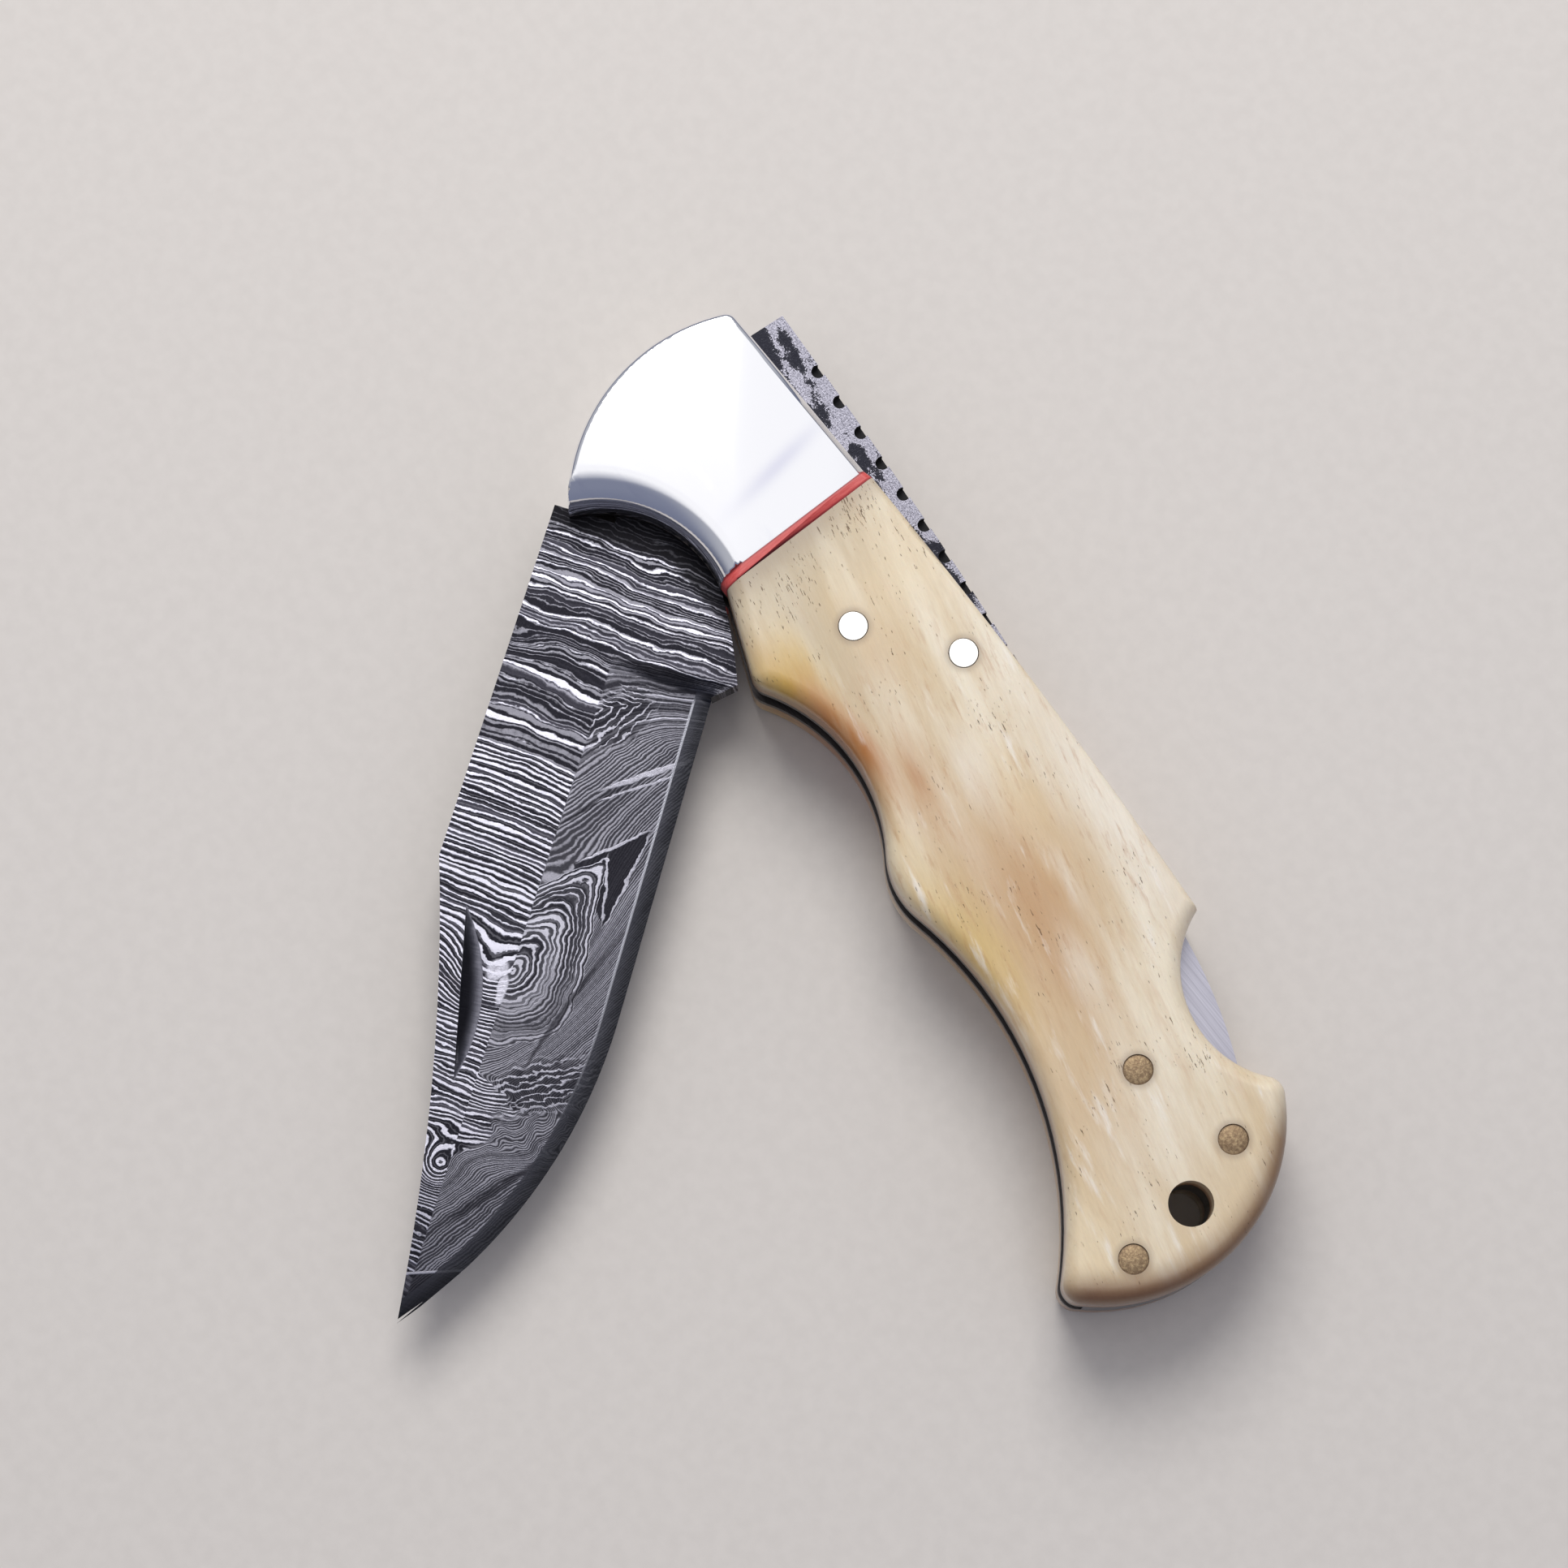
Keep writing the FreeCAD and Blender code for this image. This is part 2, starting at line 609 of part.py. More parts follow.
def make_back_spring():
    """Leaf spring: an eye on the upper butt pin, over its fulcrum pin, to the lock bar's belly."""
    body = new_body("back_spring")
    eye_low = "butt_upper_y - spring_eye"
    outline = [
        ("spring_tip", "spring_tip_y - spring_thickness", ""),
        ("spring_pin_x", "fulcrum_y", ""),
        ("butt_upper_x - spring_eye", "fulcrum_y", ""),
        ("butt_upper_x - spring_eye", eye_low, ""),
        ("butt_upper_x + spring_eye", eye_low, ""),
        ("butt_upper_x + spring_eye", "butt_upper_y + spring_eye", ""),
        ("butt_upper_x - spring_eye", "butt_upper_y + spring_eye", ""),
        ("butt_upper_x - spring_eye", "fulcrum_y + spring_thickness", ""),
        ("spring_pin_x", "fulcrum_y + spring_thickness", ""),
        ("spring_tip", "spring_tip_y", ""),
    ]
    sketch = new_sketch(body, out="-blade_thickness / 2")
    pad(body, trace(sketch, outline), "blade_thickness")
    bore(body, [BUTT_UPPER], "pin_fit")
    return body


def make_lock_bar():
    """Rocker bar: lug at the front, thumb tail at the rear, filed notches along both back edges."""
    body = new_body("lock_bar", "lock_pin_x", "lock_pin_y", "-lift_angle")

    def corner(x, y, bow=""):
        return (f"({x}) - lock_pin_x", f"({y}) - lock_pin_y", bow)

    outline = [
        corner("-bar_front", "lug_bottom"),
        corner("-lug_rear", "lug_bottom"),
        corner("-lug_rear", "bar_waist"),
        corner("bar_shoulder", "bar_waist"),
        corner("bar_boss", "bar_belly"),
        corner("bar_belly_end", "bar_belly"),
        corner("bar_tail", "bar_tail_base"),
        corner("bar_tail", "bar_tail_height", "bar_tail_bulge_height"),
        corner("bar_tail_start", "bar_tail_start_height", "bar_crown"),
        corner("-bar_front", "bar_front_height"),
    ]
    half = "(slot_half - bar_side_play)"
    sketch = new_sketch(body, out=f"-{half}")
    pad(body, trace(sketch, outline), f"2 * {half}")
    running = new_sketch(body, out="mid_height")
    add_circle(running, "0", "0", "pin_diameter + 2 * running_fit")
    cut_away(body, "Pocket", running, Type="ThroughAll")
    file_notches(body, half, "filework_setback - bar_front", False)
    file_notches(body, f"-{half}", "filework_setback + filework_pitch / 2 - bar_front", True)
    return body


def file_notches(body, face, start, reverse):
    """A row of round notches that open at the bar's back, filed into it from one side face."""
    sketch = new_sketch(body, out=face)
    for step in range(int(number("filework_count"))):
        along = f"({start} + {step} * filework_pitch)"
        back = f"bar_centre_y + sqrt(bar_radius ^ 2 - ({along} - bar_centre_x) ^ 2)"
        across = f"{back} - filework_sink - lock_pin_y"
        add_circle(sketch, f"{along} - lock_pin_x", across, "2 * filework_radius")
    notches = cut_away(body, "Pocket", sketch, Reversed=reverse, Length=number("filework_depth"))
    notches.setExpression("Length", bound("filework_depth"))


def make_blade():
    """Clip-point blade with tang, lock notch, closed seat, grinds and nail nick."""
    body = new_body("blade", turn="-rest_angle")
    seat = [seat_corner("-notch_wall", "notch_wall_top"), seat_corner("-notch_wall", "notch_floor"),
            seat_corner("-seat_end", "notch_floor")]
    tang = tang_sagittas()
    outline = [
        ("shoulder", "-spine_drop", ""),
        ("clip_start", "-spine_drop", "-clip_hollow"),
        ("tip_reach", "-tip_drop", "edge_bulge_height"),
        ("edge_straight", "edge_height", ""),
        ("edge_heel", "edge_heel_height", ""),
        ("ricasso_reach", "ricasso_height", "ricasso_bulge_height"),
        ("ricasso_root", "ricasso_root_height", tang[0]),
        (*seat[0], ""),
        (*seat[1], ""),
        (*seat[2], tang[1]),
        ("-tang_radius", "0", tang[2]),
        ("notch_wall", "-notch_wall_top", ""),
        ("notch_wall", "-notch_floor", ""),
        ("shoulder", "-notch_floor", ""),
    ]
    sketch = new_sketch(body, out="-blade_thickness / 2")
    pad(body, trace(sketch, outline), "blade_thickness")
    bore(body, [PIVOT], "running_fit")
    grind(body)
    cut_nail_nick(body)
    return body


def grind(body):
    """Plunge, main bevel and edge bevel, lofted on the front side and mirrored to the back."""
    curve = "edge_centre_y + sqrt(edge_radius ^ 2 - ({} - edge_centre_x) ^ 2)"
    heel = "edge_heel_height + (plunge_end - edge_heel) * edge_rise"
    stations = [
        ("plunge_end", "-ridge_drop", heel),
        ("(plunge_end + edge_straight) / 2", "-ridge_drop", f"(({heel}) + edge_height) / 2"),
        ("edge_straight", "-ridge_drop", "edge_height"),
        ("ridge_bend", "-ridge_drop", curve.format("ridge_bend")),
        ("ridge_fade", "-ridge_fade_drop", curve.format("ridge_fade")),
        ("tip_reach", "-ridge_tip_drop", "-tip_drop"),
    ]
    face = "blade_thickness / 2"
    bevels = []
    edges = []
    for x, ridge, edge in stations:
        low = f"({edge}) - edge_bevel"
        bevels.append(grind_section(body, x, (ridge, face), (low, "bevel_land")))
        edges.append(grind_section(body, x, (low, "bevel_land"), (edge, "edge_land")))
    lift = f"{face} + plunge_lift_height"
    flat = grind_section(body, "plunge_start", ("-ridge_drop", lift), (heel, lift))
    full = grind_section(body, "plunge_end", ("-ridge_drop", face), (f"{heel} - edge_bevel", "bevel_land"))
    cuts = [
        cut_away(body, "SubtractiveLoft", flat, Sections=[full], Ruled=True),
        cut_away(body, "SubtractiveLoft", bevels[0], Sections=bevels[1:]),
        cut_away(body, "SubtractiveLoft", edges[0], Sections=edges[1:]),
    ]
    mirror = body.newObject("PartDesign::Mirrored", "blade_grinds")
    mirror.Originals = cuts
    plane = next(part for part in body.Origin.OriginFeatures if part.Role == "XY_Plane")
    mirror.MirrorPlane = (plane, [""])
    body.Tip = mirror
    doc.recompute()


def grind_section(body, x, high, low):
    """Section of a grinding cut at x: everything outside the line from high to low, run on past low."""
    over = "edge_bevel"
    fall = f"(({high[1]}) - ({low[1]})) / (({low[0]}) - ({high[0]})) * {over}"
    beyond = f"({low[0]}) + {over}"
    clear = "blade_thickness + edge_bevel"
    corners = [
        (*high, ""),
        (beyond, f"({low[1]}) - {fall}", ""),
        (beyond, clear, ""),
        (high[0], clear, ""),
    ]
    return trace(new_sketch(body, "YZ_Plane", out=x), corners)


def cut_nail_nick(body):
    """Nail nick on the front face, cut by a wheel with one flat and one sloping side."""
    axle = "blade_thickness / 2 + nick_wheel - nick_depth"
    sketch = new_sketch(body, "YZ_Plane", "-nick_drop", axle, "nick_centre")
    turned = FreeCAD.Rotation(FreeCAD.Vector(0, 1, 0), 1)
    sketch.AttachmentOffset = FreeCAD.Placement(sketch.AttachmentOffset.Base, turned)
    sketch.setExpression("AttachmentOffset.Rotation.Angle", bound("nick_angle"))
    rim = "-nick_wheel"
    wheel = [
        ("0", rim, ""),
        ("2 * nick_width", f"{rim} + 2 * nick_depth", ""),
        ("0", f"{rim} + 2 * nick_depth", ""),
    ]
    cut_away(body, "Groove", trace(sketch, wheel), ReferenceAxis=(sketch, ["H_Axis"]), Angle=360)


def seat_corner(x, y):
    """A corner of the closed seat, turned back from the closed position into the blade's own frame."""
    return (f"({x}) * cos(closed_angle) - ({y}) * sin(closed_angle)",
            f"({x}) * sin(closed_angle) + ({y}) * cos(closed_angle)")


def tang_sagittas():
    """How far the tang's three round stretches bow out of their chords."""
    start = "asin(ricasso_root_height / tang_radius)"
    seat_high = "90 deg + asin(notch_wall / tang_radius) + closed_angle * 1 deg"
    seat_low = "180 deg - asin(notch_floor / tang_radius) + closed_angle * 1 deg"
    notch = "270 deg + asin(notch_wall / tang_radius)"
    spans = ((start, seat_high), (seat_low, "180 deg"), ("180 deg", notch))
    return [f"tang_radius * (1 - cos((({end}) - ({begin})) / 2))" for begin, end in spans]


for side in SIDES:
    make_liner(side)
    make_bolster(side)
    make_spacer(side)
    make_scale(side)
    make_washer(side)
    make_rivets(f"bolster_rivets_{side}", BOLSTER_RIVETS, side)
    make_rivets(f"scale_rivet_{side}", [SCALE_RIVET], side)
PINS = {
    "pivot_pin": PIVOT,
    "lock_bar_pin": LOCK_PIN,
    "spring_pin": SPRING_PIN,
    "butt_pin_upper": BUTT_UPPER,
    "butt_pin_lower": BUTT_LOWER,
}
for label, hole in PINS.items():
    make_pin(label, hole, "-mid_height", "mid_height")
make_butt_block()
make_back_spring()
make_lock_bar()
make_blade()
doc.recompute()

# Every object has to be sound before anything is written
for item in doc.Objects:
    if {"Invalid", "Error"} & set(item.State):
        raise RuntimeError(f"{item.Label} failed")
pieces = [
    item for item in doc.Objects
    if item.TypeId in ("PartDesign::Body", "Part::Fillet") and not item.Label.endswith("_blank")
]
for piece in pieces:
    if piece.Shape.isNull() or not piece.Shape.isValid():
        raise RuntimeError(f"{piece.Label} is not a sound solid")
os.makedirs("parts", exist_ok=True)
for piece in pieces:
    piece.Shape.exportStep(f"parts/{piece.Label}.step")
    print(f"{piece.Label}: {len(piece.Shape.Solids)} solid(s), {piece.Shape.Volume:.1f} mm3")
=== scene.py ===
import functools
import math

import bmesh
import bpy
from mathutils import Matrix, Vector


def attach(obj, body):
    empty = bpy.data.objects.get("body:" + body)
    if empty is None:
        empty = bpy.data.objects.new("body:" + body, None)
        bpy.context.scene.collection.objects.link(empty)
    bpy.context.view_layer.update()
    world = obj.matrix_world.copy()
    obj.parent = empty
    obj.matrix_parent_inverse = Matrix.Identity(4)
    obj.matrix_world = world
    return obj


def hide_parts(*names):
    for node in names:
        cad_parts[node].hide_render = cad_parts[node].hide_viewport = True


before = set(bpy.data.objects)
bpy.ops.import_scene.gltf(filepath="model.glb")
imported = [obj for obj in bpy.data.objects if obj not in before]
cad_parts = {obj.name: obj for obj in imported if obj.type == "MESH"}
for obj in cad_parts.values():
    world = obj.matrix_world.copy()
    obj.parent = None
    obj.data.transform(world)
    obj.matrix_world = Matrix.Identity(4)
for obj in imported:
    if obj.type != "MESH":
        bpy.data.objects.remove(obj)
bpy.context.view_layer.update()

# Sizes of the knife that the looks follow, in millimetres and degrees, as in the CAD model
MILLIMETRE = 0.001
MID_HEIGHT = 7.0
REST_ANGLE = 55.3
BLADE_HALF = 1.5
SPINE = 12.1
RIDGE = 2.3
PLUNGE = 20.0
EDGE_HEEL = Vector((20.9, 7.6))
EDGE_STRAIGHT = Vector((51.7, 8.45))
TIP = Vector((85.1, -2.43))
EDGE_BULGE = 3.15
EDGE_BEVEL = 1.55
PIN_RADIUS = 1.4
PIVOT_RADIUS = 2.4
PINS = {
    "scale_rivet": Vector((21.8, 1.1)),
    "lock_bar_pin": Vector((30.1, 7.6)),
    "spring_pin": Vector((70.3, -3.9)),
    "butt_pin_upper": Vector((80.6, -1.05)),
    "butt_pin_lower": Vector((83.5, -15.0)),
}
PIVOT = Vector((0.0, 0.0))
BOLSTER_RIVETS = (Vector((6.6, 7.9)), Vector((-6.6, -5.9)))
SPACER = (10.7, 11.7)

# What the dressing does to the pins' ends, in millimetres
PIVOT_SINK = 0.2
BRIGHT_PIN_BEVEL = 0.09
BRASS_PIN_DOME = 0.18

# Places of the finishes' figures: along and across the blade from its pivot, or the handle's X and Y
PLUNGE_RUN = (19.2, 20.8)
EYE = Vector((51.0, -2.2))
EYE_TURN = -22.0
EYE_BLUNT = 7.6
EYE_SHARP = 13.6
EYE_WIDE = 6.7
POINT_LINE = ((78.6, 2.4), (80.9, -3.6))
# Centre of the arc of painted shade on the butt's rolled edge
BUTT_SHADE_CENTRE = Vector((72.0, -8.5))

# The stage: turns in degrees, lengths in metres, the lens in millimetres
VIEW_TURN = -37.93
VIEW_TILT = 10.0
VIEW_TARGET = Vector((28.9, -12.58, 9.0)) * MILLIMETRE
VIEW_DISTANCE = 0.42
LENS = 103.3
FLOOR_HALF = 3.0
FLOOR_DROP = 0.05 * MILLIMETRE
LAMP_SIZE = 0.45
LAMP_POWER = 3.4
LAMP_AIM = Vector((0.03, -0.012, 0.0))
LAMP_FOOT = Vector((0.03, 0.0, 0.0))
LAMP_HEIGHT = 0.6


def tone(red, green, blue):
    """A colour as a screen shows it, 0 to 255, as a shader's linear one."""
    shares = [level / 255 for level in (red, green, blue)]
    return (*[share / 12.92 if share < 0.04 else ((share + 0.055) / 1.055) ** 2.4 for share in shares], 1.0)


class Value:
    """An output in a node tree. Arithmetic on one that is a number adds Math nodes."""

    def __init__(self, tree, socket):
        self.tree = tree
        self.socket = socket

    def output(self, name):
        return Value(self.tree, self.socket.node.outputs[name])

    def math(self, operation, first, second=0.0):
        return self.tree.node("Math", {"operation": operation}, {0: first, 1: second})

    def __add__(self, other):
        return self.math("ADD", self, other)

    def __radd__(self, other):
        return self.math("ADD", other, self)

    def __sub__(self, other):
        return self.math("SUBTRACT", self, other)

    def __rsub__(self, other):
        return self.math("SUBTRACT", other, self)

    def __mul__(self, other):
        return self.math("MULTIPLY", self, other)

    def __rmul__(self, other):
        return self.math("MULTIPLY", other, self)

    def __truediv__(self, other):
        return self.math("DIVIDE", self, other)

    def __rtruediv__(self, other):
        return self.math("DIVIDE", other, self)

    def __abs__(self):
        return self.math("ABSOLUTE", self)

    def least(self, other):
        return self.math("MINIMUM", self, other)

    def most(self, other):
        return self.math("MAXIMUM", self, other)

    def root(self):
        return self.math("SQRT", self)

    def sine(self):
        return self.math("SINE", self)

    def exponential(self):
        return self.math("EXPONENT", self)

    def above(self, limit):
        """1 above a limit, 0 below it."""
        return self.math("GREATER_THAN", self, limit)

    def step(self, start, end):
        """Rises smoothly from 0 to 1 between start and end, or falls where end is the smaller."""
        inputs = {"Value": self, "From Min": start, "From Max": end}
        return self.tree.node("MapRange", {"interpolation_type": "SMOOTHSTEP"}, inputs)


class Tree:
    """A node tree and the one method that adds its nodes."""

    def __init__(self, tree):
        self.tree = tree
        self.tree.nodes.clear()

    def node(self, kind, settings=None, inputs=None, output=0):
        """Adds a node, makes its settings, then fills or links its inputs."""
        added = self.tree.nodes.new("ShaderNode" + kind)
        for name, setting in (settings or {}).items():
            setattr(added, name, setting)
        for name, source in (inputs or {}).items():
            if isinstance(source, Value):
                self.tree.links.new(source.socket, added.inputs[name])
            else:
                added.inputs[name].default_value = source
        return Value(self, added.outputs[output] if added.outputs else None)

    def split(self, vector):
        parts = self.node("SeparateXYZ", {}, {"Vector": vector})
        return [parts.output(axis) for axis in "XYZ"]

    def mix(self, share, first, second):
        """One colour over another by a share."""
        return self.node("Mix", {"data_type": "RGBA"}, {0: share, 6: first, 7: second}, 2)


class Finish(Tree):
    """A procedural material whose patterns are laid out in millimetres of the knife's frame."""

    def __init__(self, name):
        self.material = bpy.data.materials.new(name)
        self.material.use_nodes = True
        super().__init__(self.material.node_tree)
        place = self.node("TexCoord", {}, {}, "Object")
        self.place = self.node("VectorMath", {"operation": "SCALE"}, {0: place, "Scale": 1 / MILLIMETRE})

    def laid(self, place, turn=0.0, stretch=(1.0, 1.0, 1.0), shift=(0.0, 0.0, 0.0)):
        """The place stretched, turned about +Z by degrees and shifted."""
        inputs = {"Vector": place, "Scale": stretch, "Location": shift}
        inputs["Rotation"] = (0.0, 0.0, math.radians(turn))
        return self.node("Mapping", {}, inputs)

    def noise(self, place, size, detail=2.0, roughness=0.5):
        """Cloudy noise around 0, mostly within 0.5 of it, with features of about a size."""
        inputs = {"Vector": place, "Scale": 1 / size, "Detail": detail, "Roughness": roughness}
        return self.node("TexNoise", {"normalize": True}, inputs) * 2.0 - 1.0

    def beat(self, value, size, detail=1.0):
        """Noise around 0 along one value."""
        inputs = {"W": value, "Scale": 1 / size, "Detail": detail}
        return self.node("TexNoise", {"noise_dimensions": "1D"}, inputs) * 2.0 - 1.0

    def gap(self, along, across, centre):
        """Distance from a line through a centre along +Z."""
        first = along - centre.x
        second = across - centre.y
        return (first * first + second * second).root()

    def patch(self, along, across, centre, long, wide, turn=0.0):
        """A soft oval patch: 1 at its centre, fading outwards, its long way turned by degrees."""
        lean = math.radians(turn)
        first = along - centre[0]
        second = across - centre[1]
        far = (first * math.cos(lean) + second * math.sin(lean)) / long
        near = (second * math.cos(lean) - first * math.sin(lean)) / wide
        return ((far * far + near * near) * -1.0).exponential()

    def patches(self, along, across, rows):
        """Several soft patches as one, each row a patch's centre, length, width and turn."""
        return functools.reduce(Value.most, [self.patch(along, across, *row) for row in rows])

    def beside(self, along, across, start, end, soft):
        """1 on the left of the way from start to end, 0 on its right."""
        way = (Vector(end) - Vector(start)).normalized()
        out = (across - start[1]) * way.x - (along - start[0]) * way.y
        return out.step(-soft, soft)

    def lines(self, count, stir, start, end):
        """Pale lines, one to each whole number of a count, thinned and broken by a stir."""
        wave = (count * (2 * math.pi)).sine() * 0.5 + 0.5
        return (wave + stir).step(start, end)

    def surface(self, settings, height=None):
        """Principled surface; the height, in millimetres, roughens it."""
        inputs = dict(settings)
        if height is not None:
            bump = {"Height": height, "Strength": 1.0, "Distance": MILLIMETRE}
            inputs["Normal"] = self.node("Bump", {}, bump)
        shader = self.node("BsdfPrincipled", {}, inputs)
        self.node("OutputMaterial", {}, {"Surface": shader})
        return self.material


def mirror_steel():
    """Buffed bolster steel: almost white, with faint smears and hairlines from the wheel."""
    finish = Finish("mirror_steel")
    hairs = finish.noise(finish.laid(finish.place, 35.0, (0.15, 6.0, 1.0)), 1.0, 3.0)
    smear = finish.noise(finish.laid(finish.place, -30.0, (0.25, 1.0, 1.0)), 2.6, 3.0).step(0.15, 0.6)
    along, across = finish.split(finish.place)[:2]
    # A bluish band down the face near X 5.4, warped by the smear noise
    bluish_band = finish.patch(along + smear, across, (5.4, 5.0), 5.0, 0.8, 98.0)
    colour = finish.mix(smear * 0.5, tone(250, 250, 252), tone(222, 222, 236))
    colour = finish.mix(bluish_band * 0.45, colour, tone(200, 200, 226))
    return finish.surface({
        "Base Color": colour,
        "Metallic": 1.0,
        "Roughness": 0.07 + smear * 0.06 + hairs.step(0.2, 0.9) * 0.05,
    }, hairs * 0.0006)


def red_fibre():
    """Red fibre spacer, darker where it meets its neighbours."""
    finish = Finish("red_fibre")
    along = finish.split(finish.place)[0]
    middle = sum(SPACER) / 2
    rim = abs(along - middle).step(0.24, 0.5)
    fibres = finish.noise(finish.laid(finish.place, 0.0, (6.0, 1.0, 3.0)), 0.9, 4.0, 0.65)
    colour = finish.mix(fibres.step(-0.3, 0.5), tone(206, 76, 72), tone(222, 100, 94))
    colour = finish.mix(rim * 0.8, colour, tone(128, 26, 34))
    return finish.surface({
        "Base Color": colour,
        "Roughness": 0.42 + fibres * 0.12,
    }, fibres * 0.012 - rim * 0.05)


def bone():
    """Polished bone: cream, clouded along its grain, with pores, stained patches and dark rings round the
    pins; its rolled sides, the butt's edge and the strip beside the spacer are darkened as painted shade,
    and a pale patch along the top edge is partly a painted highlight.
    """
    finish = Finish("bone")
    along, across, height = finish.split(finish.place)
    low = MID_HEIGHT - abs(height - MID_HEIGHT)
    grain = finish.laid(finish.place, 14.0)
    drawn = finish.laid(grain, 0.0, (0.16, 1.0, 0.6))
    cloud = finish.noise(drawn, 3.0, 4.0, 0.55)
    veil = finish.noise(finish.laid(drawn, 0.0, (1.0, 1.0, 1.0), (31.0, 7.0, 0.0)), 2.1, 4.0, 0.6)
    broad = finish.noise(finish.laid(grain, 0.0, (0.5, 1.0, 1.0), (5.0, 40.0, 0.0)), 11.0, 2.0)
    fibres = finish.noise(finish.laid(grain, 0.0, (0.17, 1.0, 0.6), (11.0, 2.0, 0.0)), 0.55, 4.0, 0.65)

    colour = finish.mix(cloud.step(-0.35, 0.4), tone(220, 196, 156), tone(243, 230, 203))
    colour = finish.mix(broad.step(0.0, 0.45) * 0.5, colour, tone(230, 199, 143))
    colour = finish.mix(veil.step(0.05, 0.5) * 0.5, colour, tone(212, 176, 138))

    ivory = tone(248, 240, 224)
    cream = tone(239, 220, 184)
    honey = tone(213, 182, 138)
    amber = tone(198, 153, 104)
    ochre = tone(216, 182, 84)
    umber = tone(178, 106, 30)
    ashen = tone(192, 176, 147)
    # Colour patches: centre, length, width, turn, colour and strength; most are stains in the bone, and two
    # rows are painted light
    stains_and_painted_light = (
        ((57.0, -5.5), 13.0, 4.8, -10.0, amber, 0.6),
        ((22.0, -2.0), 9.0, 3.0, 0.0, ashen, 0.55),
        ((70.0, -9.5), 9.0, 3.8, -30.0, honey, 0.95),
        ((20.0, 8.0), 6.5, 3.0, -10.0, cream, 0.7),
        # Partly the bone's pale top and partly a painted highlight along the top rolled edge
        ((50.0, 9.0), 18.0, 3.8, -3.0, ivory, 0.8),
        ((50.0, 4.5), 6.0, 2.4, -8.0, honey, 0.5),
        ((26.0, 1.0), 5.0, 2.4, -14.0, honey, 0.65),
        ((38.5, 1.4), 4.4, 1.6, -14.0, ivory, 0.55),
        ((52.0, -1.6), 8.5, 4.2, -8.0, amber, 0.8),
        ((52.0, -8.4), 9.0, 2.6, 0.0, ochre, 0.5),
        ((76.0, -6.0), 8.0, 6.0, -20.0, ivory, 0.3),
        ((80.0, -17.0), 6.0, 3.0, -40.0, cream, 0.6),
        # Grey bone, darkened further as painted shade beside the spacer
        ((12.0, 0.0), 4.6, 10.0, 0.0, ashen, 0.75),
        ((22.6, -7.0), 4.0, 2.8, 0.0, ochre, 0.9),
        ((29.5, -6.2), 7.0, 2.0, 4.0, umber, 0.95),
        ((37.5, -3.0), 5.0, 1.8, -15.0, amber, 0.7),
        ((36.8, -2.8), 2.0, 0.6, -15.0, umber, 0.4),
        ((60.5, -2.0), 4.0, 1.4, -8.0, ivory, 0.4),
        ((52.4, 1.8), 2.8, 0.9, -14.0, ivory, 0.45),
    )
    first = along + cloud * 3.2
    second = across + veil * 2.2 + fibres * 0.5
    for centre, long, wide, turn, patch_tone, strength in stains_and_painted_light:
        share = finish.patch(first, second, centre, long, wide, turn)
        colour = finish.mix(share * strength, colour, patch_tone)

    streaked = along.step(20.0, 32.0) * (1.0 - along.step(56.0, 66.0) * 0.6)
    colour = finish.mix(fibres.step(0.05, 0.45) * streaked * 0.4, colour, tone(186, 134, 86))
    white = finish.noise(finish.laid(drawn, 0.0, (1.0, 1.0, 1.0), (3.0, 19.0, 0.0)), 1.5, 5.0, 0.6)
    colour = finish.mix(white.step(0.15, 0.5) * along.step(20.0, 34.0) * 0.7, colour, tone(250, 243, 231))

    # Painted shade on the bone beside the red spacer
    spacer_shade = along.step(14.4, SPACER[1])
    colour = finish.mix(spacer_shade * 0.4, colour, tone(140, 118, 104))

    rings = [finish.gap(along, across, centre).step(2.2, PIN_RADIUS - 0.2) for centre in PINS.values()]
    halo = functools.reduce(Value.most, rings)
    colour = finish.mix(halo * 0.5, colour, tone(132, 108, 88))

    # Painted brown shade on the rolled edge at the butt
    butt = finish.gap(along, across, BUTT_SHADE_CENTRE).step(13.2, 16.6) * along.step(78.5, 84.0)
    colour = finish.mix(butt * 0.95, colour, tone(112, 74, 46))
    # Painted shade: the rolled sides turn brown from 1.2 mm to 3.4 mm below the outer face
    colour = finish.mix(low.step(1.2, 3.4) * 0.65, colour, tone(158, 102, 48))

    slots = finish.noise(finish.laid(grain, 0.0, (0.8, 5.0, 3.0)), 0.8, 2.0, 0.6)
    crowd = finish.noise(finish.laid(grain, 0.0, (1.0, 1.0, 1.0), (50.0, 3.0, 0.0)), 5.0, 2.0)
    pores = (slots + crowd * 0.35 + along.step(30.0, 12.0) * 0.12).step(0.43, 0.54)
    colour = finish.mix(pores * 0.75, colour, tone(104, 76, 52))
    dust = finish.noise(finish.laid(grain, 0.0, (0.3, 2.0, 1.5)), 0.5, 4.0, 0.7)
    colour = finish.mix(dust.step(-0.6, 0.6) * 0.14, colour, tone(150, 120, 90))
    return finish.surface({
        "Base Color": colour,
        "Roughness": 0.33 + cloud * 0.08 + pores * 0.25,
        "Coat Weight": 0.35 - pores * 0.3,
        "Coat Roughness": 0.16,
        "Subsurface Weight": 0.12,
        "Subsurface Radius": (0.9, 0.6, 0.35),
        "Subsurface Scale": MILLIMETRE,
    }, cloud * 0.02 - pores * 0.05 + dust * 0.004)


def bright_pin(name):
    """Nickel-silver pin end, sanded flush, with the dark ring of its hole."""
    finish = Finish("nickel_silver_" + name)
    along, across = finish.split(finish.place)[:2]
    out = finish.gap(along, across, PINS[name])
    scratches = finish.noise(finish.laid(finish.place, 60.0, (0.4, 8.0, 1.0)), 1.0, 3.0)
    colour = finish.mix(out.step(1.26, 1.38), tone(250, 248, 240), tone(92, 76, 64))
    return finish.surface({
        "Base Color": colour,
        "Metallic": 1.0,
        "Roughness": 0.26 + scratches * 0.08,
    }, scratches * 0.002)


